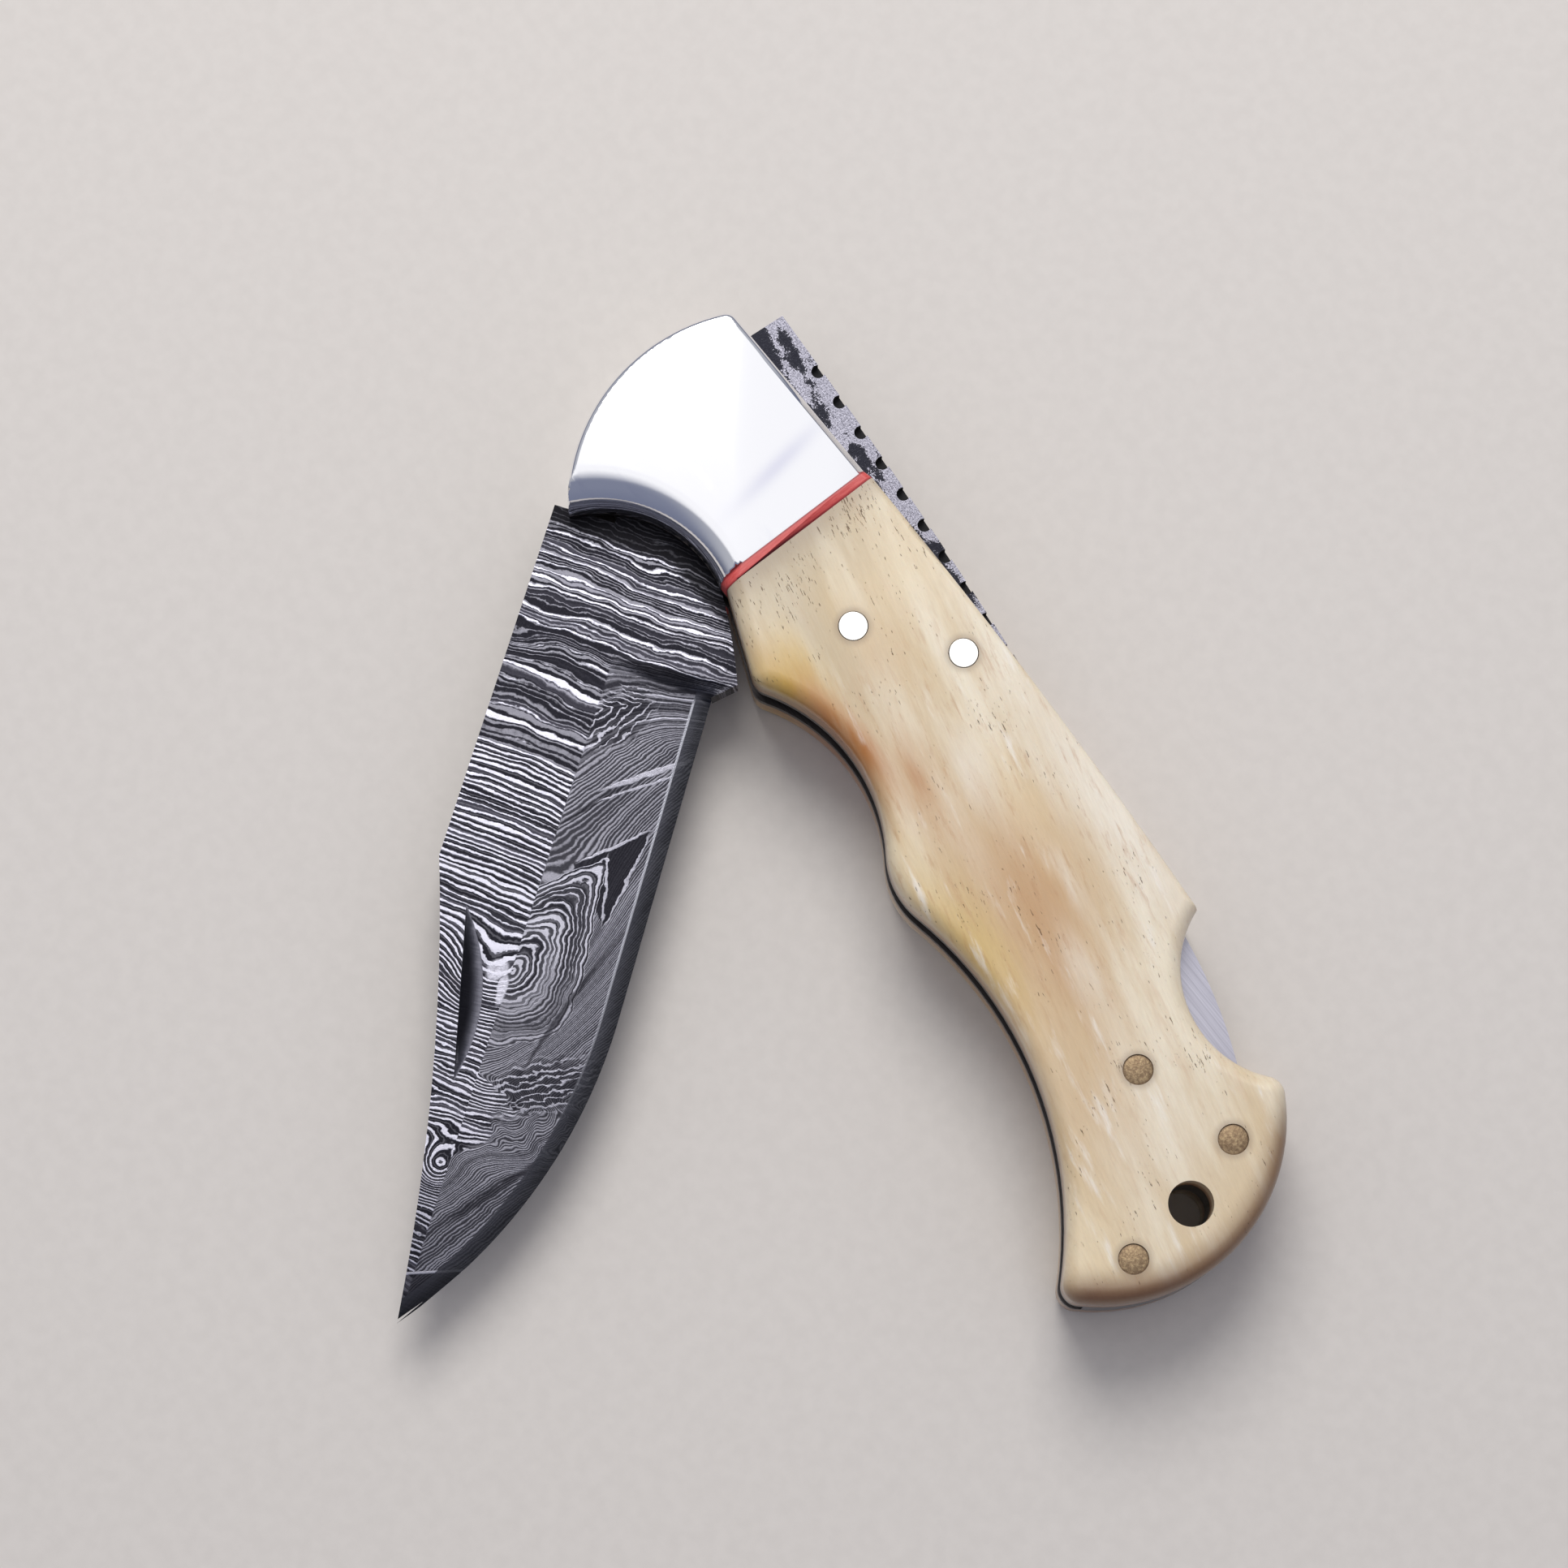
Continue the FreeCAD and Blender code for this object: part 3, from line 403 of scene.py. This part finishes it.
def tarnished_brass(name):
    """Brass pin end gone brown, speckled where the peening hammer left bright metal."""
    finish = Finish("tarnished_brass_" + name)
    along, across = finish.split(finish.place)[:2]
    out = finish.gap(along, across, PINS[name])
    specks = finish.noise(finish.place, 0.28, 3.0, 0.65)
    cloud = finish.noise(finish.place, 1.3, 2.0)
    colour = finish.mix(specks.step(-0.25, 0.45), tone(138, 114, 86), tone(188, 162, 124))
    colour = finish.mix(cloud.step(0.0, 0.5) * 0.55, colour, tone(112, 86, 62))
    colour = finish.mix(out.step(1.15, 1.38) * 0.6, colour, tone(106, 86, 70))
    return finish.surface({
        "Base Color": colour,
        "Metallic": 0.55,
        "Roughness": 0.5 + specks * 0.12,
    }, specks * 0.03)


def satin_steel(name, light, dark, turn=0.0, painted_shade=0.0):
    """Steel rubbed in one direction; a share of painted shade darkens it towards the belly."""
    finish = Finish(name)
    across = finish.split(finish.place)[1]
    rubbed = finish.noise(finish.laid(finish.place, turn, (0.12, 7.0, 7.0)), 1.0, 4.0, 0.6)
    cloud = finish.noise(finish.place, 4.0, 3.0)
    colour = finish.mix(rubbed.step(-0.5, 0.5), dark, light)
    # Painted shade on the lower edges, towards the belly
    colour = finish.mix(across.step(3.0, -3.0) * painted_shade, colour, tone(52, 45, 43))
    return finish.surface({
        "Base Color": colour,
        "Metallic": 1.0,
        "Roughness": 0.34 + rubbed * 0.1 + cloud * 0.05,
    }, rubbed * 0.004)


def washer_bronze():
    """Oiled bronze with turning marks."""
    finish = Finish("washer_bronze")
    along, across = finish.split(finish.place)[:2]
    rings = finish.beat(finish.gap(along, across, PIVOT), 0.2, 2.0)
    colour = finish.mix(rings.step(-0.4, 0.4), tone(150, 104, 58), tone(196, 146, 86))
    return finish.surface({"Base Color": colour, "Metallic": 1.0, "Roughness": 0.34 + rings * 0.1})


def edge_gap(finish, along, across):
    """Distance from the cutting edge, a straight run and then an arc to the point."""
    slope = (EDGE_STRAIGHT.y - EDGE_HEEL.y) / (EDGE_STRAIGHT.x - EDGE_HEEL.x)
    straight = EDGE_HEEL.y + (along - EDGE_HEEL.x) * slope - across
    chord = TIP - EDGE_STRAIGHT
    radius = chord.length_squared / (8 * EDGE_BULGE) + EDGE_BULGE / 2
    outward = Vector((-chord.y, chord.x)).normalized()
    centre = (TIP + EDGE_STRAIGHT) / 2 - outward * (radius - EDGE_BULGE)
    bow = radius - finish.gap(along, across, centre)
    past = along.step(EDGE_STRAIGHT.x - 0.01, EDGE_STRAIGHT.x + 0.01)
    return straight * (1.0 - past) + bow * past


def eye_rings(along, across, stir):
    """How far out from the eye in the steel, 1 at its rim, and how far along its long way."""
    lean = math.radians(EYE_TURN)
    first = along - EYE.x
    second = across - EYE.y
    far = first * math.cos(lean) + second * math.sin(lean)
    near = second * math.cos(lean) - first * math.sin(lean)
    blunt = far.most(0.0) / EYE_BLUNT
    sharp = (far * -1.0).most(0.0) / EYE_SHARP
    near = near / ((1.0 - sharp * 0.72).most(0.25) * EYE_WIDE)
    span = blunt + sharp
    return (span * span + near * near).root() + stir, far


def blade_layers(finish, local, along, across, dip):
    """Which layer of the folded steel shows, where it rings the eye, and where those rings are bold.

    Below the ridge the layers lean over; the dip is how far past the ridge they still run straight.
    """
    ground = along.step(*PLUNGE_RUN)
    fall = (across + RIDGE - dip).most(0.0) * ground
    rise = (across + SPINE).least(SPINE - RIDGE)
    lean = 0.2 + along.step(20.0, 27.0) * 1.1 + along.step(66.0, 72.0) * 0.2
    calm = along.step(27.0, 32.0) * along.step(56.0, 48.0)
    swell = finish.noise(finish.laid(local, 0.0, (1.0, 0.55, 1.0)), 5.0)
    ripple = finish.noise(finish.laid(local, 0.0, (1.0, 0.5, 0.6), (9.0, 4.0, 2.0)), 1.5)
    ragged = finish.noise(local, 0.35, 3.0, 0.65)
    layers = along - rise * rise * 0.008 + fall * lean
    layers = layers + swell * (1.3 - calm * 0.8) + ripple * (0.5 - calm * 0.22)
    under = across.above(-RIDGE)
    folds = (
        ((49.5, 0.6), 11.0, 4.6, -12.0, under * -12.0),
        ((52.5, -4.6), 4.0, 3.6, 0.0, (1.0 - under) * -3.2),
        ((70.6, -3.2), 2.2, 1.9, -20.0, -3.4),
        ((21.0, -12.2), 1.6, 3.0, 0.0, -1.6),
    )
    for centre, long, wide, turn, lift in folds:
        layers = layers + finish.patch(along, across, centre, long, wide, turn) * lift
    out, far = eye_rings(along, across, ripple * 0.09 + swell * 0.14)
    eye = (1.0 - out).above(0.0) * under
    layers = layers * (1.0 - eye) + (40.0 + out * 7.6) * eye
    ringed = eye * (0.2 + far.step(0.0, -5.0).most(out.step(0.5, 0.3)) * 0.65)
    return layers + ragged * 0.1, eye, ringed


def folded_lines(finish, layers, ringed, broken, ragged):
    """Share of pale steel in the flats' bold lines, and in the bevels' finer ones."""
    count = layers.least(21.0) * 1.3
    count = count + (layers - 21.0).most(0.0).least(10.0) * 0.8
    count = count + (layers - 31.0).most(0.0) * 1.8
    bands = finish.beat(layers + 70.0, 2.2, 2.0)
    early = layers.step(31.6, 30.4)
    stir = bands * 0.55 + broken * 0.3 + ragged * 0.14 - early * 0.3
    bold = finish.lines(count + finish.beat(layers, 2.4) * 0.48, stir, 0.54, 0.8)
    stir = bands * 0.3 + ragged * 0.3
    thin = finish.lines(count * 2.0 + finish.beat(layers + 11.0, 0.9) * 0.64, stir, 0.6, 0.95)
    bold = bold.most(thin * (0.12 + early * 0.24))
    stir = bands * 0.7 + ragged * 0.35
    fine = finish.lines(count * 1.2 + finish.beat(layers + 20.0, 1.4) * 0.48, stir, 0.15, 1.05)
    fine = 0.05 + fine * 0.42
    clear = ringed.most(layers.step(31.5, 29.0) * 0.6)
    return bold, fine * (1.0 - clear) + bold * clear * 0.85


def crossed_lines(finish, along, across, wander, broken, ragged, ground):
    """The bevels' pale share with steep lines laid over it near the point and angled ones at the heel."""
    stir = broken * 0.4 + ragged * 0.2
    steep = along + across * 0.54 + wander * 0.7 + broken * 0.35
    steep = finish.lines(steep * 1.4 + finish.beat(steep, 1.3) * 0.4, stir, 0.68, 0.94)
    steep_share = finish.patch(along + wander, across, (60.6, 3.4), 6.5, 2.6, -60.0).step(0.2, 0.75)
    fold = along - 25.2 + (across + RIDGE) * 0.5
    angled = (fold * -2.4).most(fold * 0.85) + across + wander * 1.1
    angled = finish.lines(angled * 0.9, stir, 0.72, 0.92)
    angled_share = finish.patch(along + wander * 2.0, across, (25.2, -0.2), 4.6, 2.6, -35.0)
    angled_share = angled_share.step(0.25, 0.75)
    for lines, share in ((steep, steep_share), (angled, angled_share)):
        ground = ground * (1.0 - share * 0.8) + lines * share * 0.62
    return ground


def blade_figures(finish, along, across, wander, ragged, bevel, eye, pale):
    """The pale share with the dark wedge, dark and pale streaks, the blot at the ridge and the point."""
    shaken = across + wander * 0.45
    corners = ((34.4, 6.0), (39.7, 0.0), (44.6, 4.6))
    wedge = bevel * (1.0 - eye)
    for start, end in zip(corners, corners[1:] + corners[:1]):
        wedge = wedge * finish.beside(along + ragged * 0.2, shaken, start, end, 0.07)
    pale = pale * (1.0 - wedge * 0.95)
    shade = finish.patches(along, shaken, (
        ((33.5, 0.4), 5.0, 0.3, -40.0),
        ((53.5, 3.3), 8.0, 0.3, -17.0),
        ((71.0, 2.4), 6.5, 0.4, -38.0),
    ))
    pale = pale * (1.0 - shade.step(0.2, 0.8) * bevel * 0.75)
    streaks = finish.patches(along, shaken, (
        ((29.6, 4.0), 5.0, 0.3, -53.0),
        ((30.9, 3.8), 4.6, 0.14, -53.0),
        ((36.9, 3.3), 4.0, 0.16, -48.0),
        ((41.2, 3.6), 3.4, 0.15, 13.0),
        ((39.6, 5.3), 5.4, 0.14, -8.5),
    ))
    pale = pale.most(streaks.step(0.25, 0.6) * bevel * (0.7 + ragged * 0.4))
    blot = finish.patches(along, shaken, (
        ((51.4, -3.6), 1.3, 1.0, -30.0),
        ((53.0, -2.6), 1.6, 0.5, 0.0),
    ))
    pale = pale.most(blot.step(0.3, 0.6) * (0.75 + ragged * 0.5))
    point = finish.beside(along, across, *POINT_LINE, 0.06)
    border = finish.beside(along + 0.25, across, *POINT_LINE, 0.06) - point
    return pale.most(border * 0.7) * (1.0 - point * 0.85)


def pattern_welded_blade():
    """Folded steel: bold pale lines on the flats, fine grey ones on the bevels, a dark point and edge."""
    finish = Finish("pattern_welded_blade")
    local = finish.laid(finish.place, REST_ANGLE, (1.0, 1.0, 1.0), (0.0, 0.0, -MID_HEIGHT))
    along, across, height = finish.split(local)
    depth = BLADE_HALF - abs(height)
    wander = finish.noise(local, 1.1, 3.0)
    drift = finish.noise(local, 2.2, 1.0)
    ragged = finish.noise(local, 0.4, 3.0, 0.65)
    broken = finish.noise(finish.laid(local, 0.0, (2.0, 0.35, 1.0), (3.0, 8.0, 1.0)), 1.0)

    # Near the point the flats' lines run on past the ridge
    running = along.step(60.8, 62.6) * along.step(69.5, 66.0)
    dip = running * (3.4 + drift * 2.6)
    bevel = ((across + RIDGE - dip) / (0.1 + running * 0.8)).step(-1.0, 1.0)
    bevel = bevel * along.step(*PLUNGE_RUN)
    layers, eye, ringed = blade_layers(finish, local, along, across, dip)
    bold, ground = folded_lines(finish, layers, ringed, broken, ragged)
    ground = crossed_lines(finish, along, across, wander, broken, ragged, ground)
    pale = bold * (1.0 - bevel) + ground * bevel
    pale = blade_figures(finish, along, across, wander, ragged, bevel, eye, pale)

    # Etched steel, with a painted shadow in the plunge and the bolsters' painted shadow on the ricasso
    # beside them
    grit = finish.noise(local, 0.13, 3.0, 0.7)
    veil = finish.beat(layers + 40.0, 1.5, 2.0).step(0.05, 0.4) * (1.0 - bevel)
    colour = finish.mix(veil * 0.5, tone(28, 27, 34), tone(88, 86, 96))
    colour = finish.mix(pale, colour, tone(204, 202, 213))
    colour = finish.mix(grit.step(-0.1, 0.6) * 0.16, colour, tone(116, 114, 122))
    colour = finish.mix(grit.step(0.1, -0.6) * 0.3, colour, tone(44, 42, 48))
    # Painted shadow in the plunge
    plunge_shadow = finish.patch(along, across, (20.2, 3.0), 0.9, 4.2)
    colour = finish.mix(plunge_shadow.step(0.2, 0.8) * 0.8, colour, tone(30, 29, 34))
    # Painted shadow of the bolsters on the ricasso
    painted_shade = (along - across.most(0.0) * 0.62 + ragged * 0.5).step(10.2, 9.0)
    colour = finish.mix(painted_shade * 0.85, colour, tone(20, 19, 22))

    # The honed edge, and a painted highlight on the line where it meets the bevel
    edge = edge_gap(finish, along, across)
    honed = edge.step(EDGE_BEVEL + 0.04, EDGE_BEVEL - 0.04) * along.step(PLUNGE, PLUNGE + 0.8)
    edge_highlight = abs(edge - EDGE_BEVEL).step(0.16, 0.04) * along.step(PLUNGE + 1.0, PLUNGE + 2.0)
    edge_highlight = edge_highlight * along.step(66.0, 40.0)
    rubbed = finish.noise(finish.laid(local, 20.0, (6.0, 0.5, 1.0)), 1.0, 3.0)
    steel = finish.mix(rubbed.step(-0.5, 0.5), tone(28, 28, 32), tone(42, 42, 47))
    steel = finish.mix(edge.step(0.3, EDGE_BEVEL) * 0.5, steel, tone(72, 72, 80))
    steel = finish.mix(pale * 0.12, steel, tone(190, 190, 198))
    colour = finish.mix(honed, colour, steel)
    colour = finish.mix(edge_highlight * 0.6, colour, tone(214, 214, 222))

    # The nail nick, with painted shade that darkens it the deeper it is
    nick = depth.step(0.02, 0.07) * across.step(-RIDGE - 0.3, -RIDGE - 0.9) * along.step(44.0, 45.0)
    nick = nick * along.step(66.0, 65.0)
    ramp = finish.mix(depth.step(0.1, 0.6), tone(112, 111, 120), tone(44, 43, 49))
    ramp = finish.mix(rubbed.step(-0.4, 0.4) * 0.4, ramp, tone(60, 59, 66))
    colour = finish.mix(nick, colour, ramp)
    plain = honed.most(nick)
    return finish.surface({
        "Base Color": colour,
        "Metallic": 0.9,
        "Roughness": 0.5 - pale * (1.0 - plain) * 0.16 - plain * 0.14 + grit * 0.08,
    }, pale * (1.0 - plain) * 0.03 + grit * 0.012 + rubbed * plain * 0.004)


def pattern_welded_bar():
    """The lock bar's steel: pale and gritty with charcoal islands; its thumb tail is rubbed bright."""
    finish = Finish("pattern_welded_bar")
    along, across = finish.split(finish.place)[:2]
    drawn = finish.laid(finish.place, 20.0, (0.6, 1.0, 1.0), (2.0, 5.0, 0.0))
    islands = finish.noise(drawn, 2.4, 3.0, 0.55)
    grit = finish.noise(finish.place, 0.16, 3.0, 0.7)
    low = (across + along * 0.079).step(14.6, 13.2)
    dark = (islands + grit * 0.3 + low * 0.26).step(0.16, 0.24)
    colour = finish.mix(grit.step(-0.3, 0.4), tone(158, 156, 166), tone(100, 98, 108))
    charcoal = finish.mix(grit.step(0.0, 0.5), tone(34, 34, 41), tone(62, 62, 70))
    colour = finish.mix(dark, colour, charcoal)
    rubbed = finish.noise(finish.laid(finish.place, 16.0, (0.1, 6.0, 6.0)), 1.0, 4.0, 0.6)
    satin = finish.mix(rubbed.step(-0.5, 0.5), tone(160, 158, 168), tone(186, 184, 194))
    tail = along.step(52.0, 56.0)
    colour = finish.mix(tail, colour, satin)
    return finish.surface({
        "Base Color": colour,
        "Metallic": 0.9,
        "Roughness": 0.46 + grit * 0.1 - tail * 0.14,
    }, (1.0 - tail) * (grit * 0.02 - dark * 0.03) + rubbed * tail * 0.004)


def notch_shade_black():
    """Inside of a filed notch: near-black painted shade."""
    finish = Finish("notch_shade_black")
    grit = finish.noise(finish.place, 0.2, 3.0)
    colour = finish.mix(grit.step(-0.4, 0.5), tone(14, 14, 16), tone(40, 38, 40))
    return finish.surface({"Base Color": colour, "Metallic": 0.4, "Roughness": 0.7 + grit * 0.1})


def floor_paint():
    """Plain pale floor with the faintest tooth."""
    finish = Finish("floor_paint")
    tooth = finish.noise(finish.place, 1.5, 3.0)
    colour = finish.mix(tooth.step(-0.6, 0.6), tone(216, 209, 201), tone(221, 214, 206))
    return finish.surface({"Base Color": colour, "Roughness": 0.75 + tooth * 0.05})


def joined(node):
    """A CAD node's mesh, its loose triangles joined."""
    shape = bmesh.new()
    shape.from_mesh(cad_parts[node].data)
    bmesh.ops.remove_doubles(shape, verts=shape.verts, dist=MILLIMETRE * 0.001)
    bmesh.ops.dissolve_limit(shape, angle_limit=math.radians(0.1), verts=shape.verts, edges=shape.edges)
    return shape


def make_piece(name, shape, body, finishes, nodes, sharp=30.0):
    """A smoothly shaded piece that stands for CAD nodes."""
    mesh = bpy.data.meshes.new(name)
    shape.to_mesh(mesh)
    shape.free()
    for face in mesh.polygons:
        face.use_smooth = True
    mesh.set_sharp_from_angle(angle=math.radians(sharp))
    for finish in finishes:
        mesh.materials.append(finish)
    piece = bpy.data.objects.new(name, mesh)
    bpy.context.scene.collection.objects.link(piece)
    weighted = piece.modifiers.new("weighted", "WEIGHTED_NORMAL")
    weighted.keep_sharp = True
    weighted.weight = 50
    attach(piece, body)
    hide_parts(*nodes)
    return piece


def outer_edges(shape, angle):
    """Edges whose faces turn by more than an angle."""
    limit = math.radians(angle)
    return [edge for edge in shape.edges if edge.is_manifold and edge.calc_face_angle(0.0) > limit]


def fill_bores(shape, centres):
    """Fills the bores at some centres, whose pins are polished away into the face."""
    def inside(face):
        middle = face.calc_center_median() / MILLIMETRE
        upright = abs(face.normal.z) < 0.1
        return upright and any((middle.xy - centre).length < PIVOT_RADIUS + 0.1 for centre in centres)
    walls = [face for face in shape.faces if inside(face)]
    bmesh.ops.delete(shape, geom=walls, context="FACES")
    rims = [edge for edge in shape.edges if edge.is_boundary]
    bmesh.ops.holes_fill(shape, edges=rims, sides=0)
    bmesh.ops.recalc_face_normals(shape, faces=shape.faces)
    bmesh.ops.dissolve_limit(shape, angle_limit=math.radians(0.1), verts=shape.verts, edges=shape.edges)


def sink_ends(shape, depth):
    """Takes a pin's ends below the faces they were polished into."""
    for vert in shape.verts:
        vert.co.z -= math.copysign(depth * MILLIMETRE, vert.co.z - MID_HEIGHT * MILLIMETRE)


def dome_ends(shape, centre, drop):
    """Rounds a pin's ends: the rim goes down and rings rise to the middle."""
    for end in (1, -1):
        caps = [face for face in shape.faces if face.normal.z * end > 0.9]
        bmesh.ops.dissolve_faces(shape, faces=caps)
        cap = max(shape.faces, key=lambda face: face.calc_center_median().z * end)
        rings = [cap.verts[:]]
        for share in (0.12, 0.16, 0.2, 0.24):
            bmesh.ops.inset_individual(shape, faces=[cap], thickness=PIN_RADIUS * MILLIMETRE * share)
            rings.append(cap.verts[:])
        top = cap.calc_center_median().z
        for ring in rings:
            for vert in ring:
                out = (vert.co.xy / MILLIMETRE - centre).length / PIN_RADIUS
                vert.co.z = top - end * drop * MILLIMETRE * out * out
        bmesh.ops.poke(shape, faces=[cap])


def blacken_notches(shape):
    """Gives the second finish, a near-black painted shade, to the walls and floors of the notches filed in
    the bar's back.
    """
    for face in shape.faces:
        middle = face.calc_center_median() / MILLIMETRE
        out = abs(middle.z - MID_HEIGHT)
        if abs(face.normal.z) > 0.9:
            filed = 0.2 < out < 1.4
        else:
            filed = out > 0.75
        face.material_index = 1 if filed and middle.y > 9.0 else 0


def make_pieces():
    """The knife's visible pieces, each made from its CAD nodes or left as one."""
    mirror = mirror_steel()
    ivory = bone()
    red = red_fibre()
    liner = satin_steel("liner_steel", tone(214, 212, 212), tone(160, 158, 160), painted_shade=0.9)
    spring = satin_steel("spring_steel", tone(120, 120, 126), tone(74, 74, 80), 10.0)
    bronze = washer_bronze()
    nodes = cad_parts

    for side in ("front", "back"):
        shape = joined(f"bolster_{side}")
        fill_bores(shape, (PIVOT, *BOLSTER_RIVETS))
        make_piece(f"bolster_shell_{side}", shape, "handle", [mirror],
                   [f"bolster_{side}", f"bolster_rivets_{side}"], 50.0)
        make_piece(f"spacer_strip_{side}", joined(f"spacer_{side}"), "handle", [red],
                   [f"spacer_{side}"])
        make_piece(f"bone_scale_{side}", joined(f"scale_{side}"), "handle", [ivory],
                   [f"scale_{side}"])
        make_piece(f"liner_plate_{side}", joined(f"liner_{side}"), "handle", [liner],
                   [f"liner_{side}"])
        nodes[f"washer_{side}"].data.materials.clear()
        nodes[f"washer_{side}"].data.materials.append(bronze)

    rivet_silver = bright_pin("scale_rivet")
    pin_silver = bright_pin("lock_bar_pin")
    for node, silver in (("scale_rivet_front", rivet_silver), ("scale_rivet_back", rivet_silver),
                         ("lock_bar_pin", pin_silver)):
        shape = joined(node)
        bmesh.ops.bevel(shape, geom=outer_edges(shape, 60), offset=BRIGHT_PIN_BEVEL * MILLIMETRE,
                        segments=2, profile=0.5, affect="EDGES", material=-1)
        make_piece(f"{node}_head", shape, "handle", [silver], [node])
    for name in ("spring_pin", "butt_pin_upper", "butt_pin_lower"):
        shape = joined(name)
        dome_ends(shape, PINS[name], BRASS_PIN_DOME)
        brass = tarnished_brass(name)
        make_piece(f"{name}_head", shape, "handle", [brass], [name])

    shape = joined("pivot_pin")
    sink_ends(shape, PIVOT_SINK)
    make_piece("pivot_pin_core", shape, "handle", [mirror], ["pivot_pin"])
    for node in ("back_spring", "butt_block"):
        nodes[node].data.materials.clear()
        nodes[node].data.materials.append(spring)

    make_piece("blade_steel", joined("blade"), "blade", [pattern_welded_blade()],
               ["blade"], 28.0)

    shape = joined("lock_bar")
    blacken_notches(shape)
    make_piece("lock_bar_steel", shape, "lock_bar",
               [pattern_welded_bar(), notch_shade_black()], ["lock_bar"], 25.0)


def make_stage():
    """Pale floor, soft dome with a dark flag towards the viewer, one large lamp and the camera."""
    bend = math.radians(VIEW_TURN)
    down = Vector((math.cos(bend), math.sin(bend), 0.0))
    right = Vector((-down.y, down.x, 0.0))

    shape = bmesh.new()
    bmesh.ops.create_grid(shape, x_segments=1, y_segments=1, size=FLOOR_HALF)
    bmesh.ops.translate(shape, verts=shape.verts, vec=(0.0, 0.0, -FLOOR_DROP))
    mesh = bpy.data.meshes.new("floor")
    shape.to_mesh(mesh)
    shape.free()
    mesh.materials.append(floor_paint())
    floor = bpy.data.objects.new("floor", mesh)
    bpy.context.scene.collection.objects.link(floor)

    world = bpy.data.worlds.new("soft_dome")
    bpy.context.scene.world = world
    world.use_nodes = True
    dome = Tree(world.node_tree)
    way = dome.node("TexCoord", {}, {}, "Generated")
    east, north, up = dome.split(way)
    flag = (east * down.x + north * down.y + up * 0.25).step(0.25, 0.8)
    colour = dome.mix(up.step(-0.05, 0.7), tone(92, 98, 118), tone(176, 178, 186))
    colour = dome.mix(up.step(0.84, 0.93), colour, tone(252, 252, 255))
    colour = dome.mix(flag * 0.9, colour, tone(116, 122, 144))
    shade = dome.node("Background", {}, {"Color": colour, "Strength": 1.0})
    dome.node("OutputWorld", {}, {"Surface": shade})

    lamp = bpy.data.lights.new("soft_box", "AREA")
    lamp.shape = "DISK"
    lamp.size = LAMP_SIZE
    lamp.energy = LAMP_POWER
    box = bpy.data.objects.new("soft_box", lamp)
    box.location = LAMP_FOOT - down * 0.42 - right * 0.04 + Vector((0.0, 0.0, LAMP_HEIGHT))
    aim = LAMP_AIM - box.location
    box.rotation_euler = aim.to_track_quat("-Z", "Y").to_euler()
    bpy.context.scene.collection.objects.link(box)

    tilt = math.radians(VIEW_TILT)
    back = (Vector((0.0, 0.0, math.cos(tilt))) + down * math.sin(tilt)).normalized()
    upward = back.cross(right)
    lens = bpy.data.cameras.new("camera")
    lens.lens = LENS
    lens.sensor_width = 36.0
    lens.clip_start = 0.01
    camera = bpy.data.objects.new("camera", lens)
    turn = Matrix((right, upward, back)).transposed().to_4x4()
    place = VIEW_TARGET + back * VIEW_DISTANCE
    camera.matrix_world = Matrix.Translation(place) @ turn
    bpy.context.scene.collection.objects.link(camera)
    bpy.context.scene.camera = camera
    bpy.context.scene.view_settings.view_transform = "Standard"


make_pieces()
make_stage()
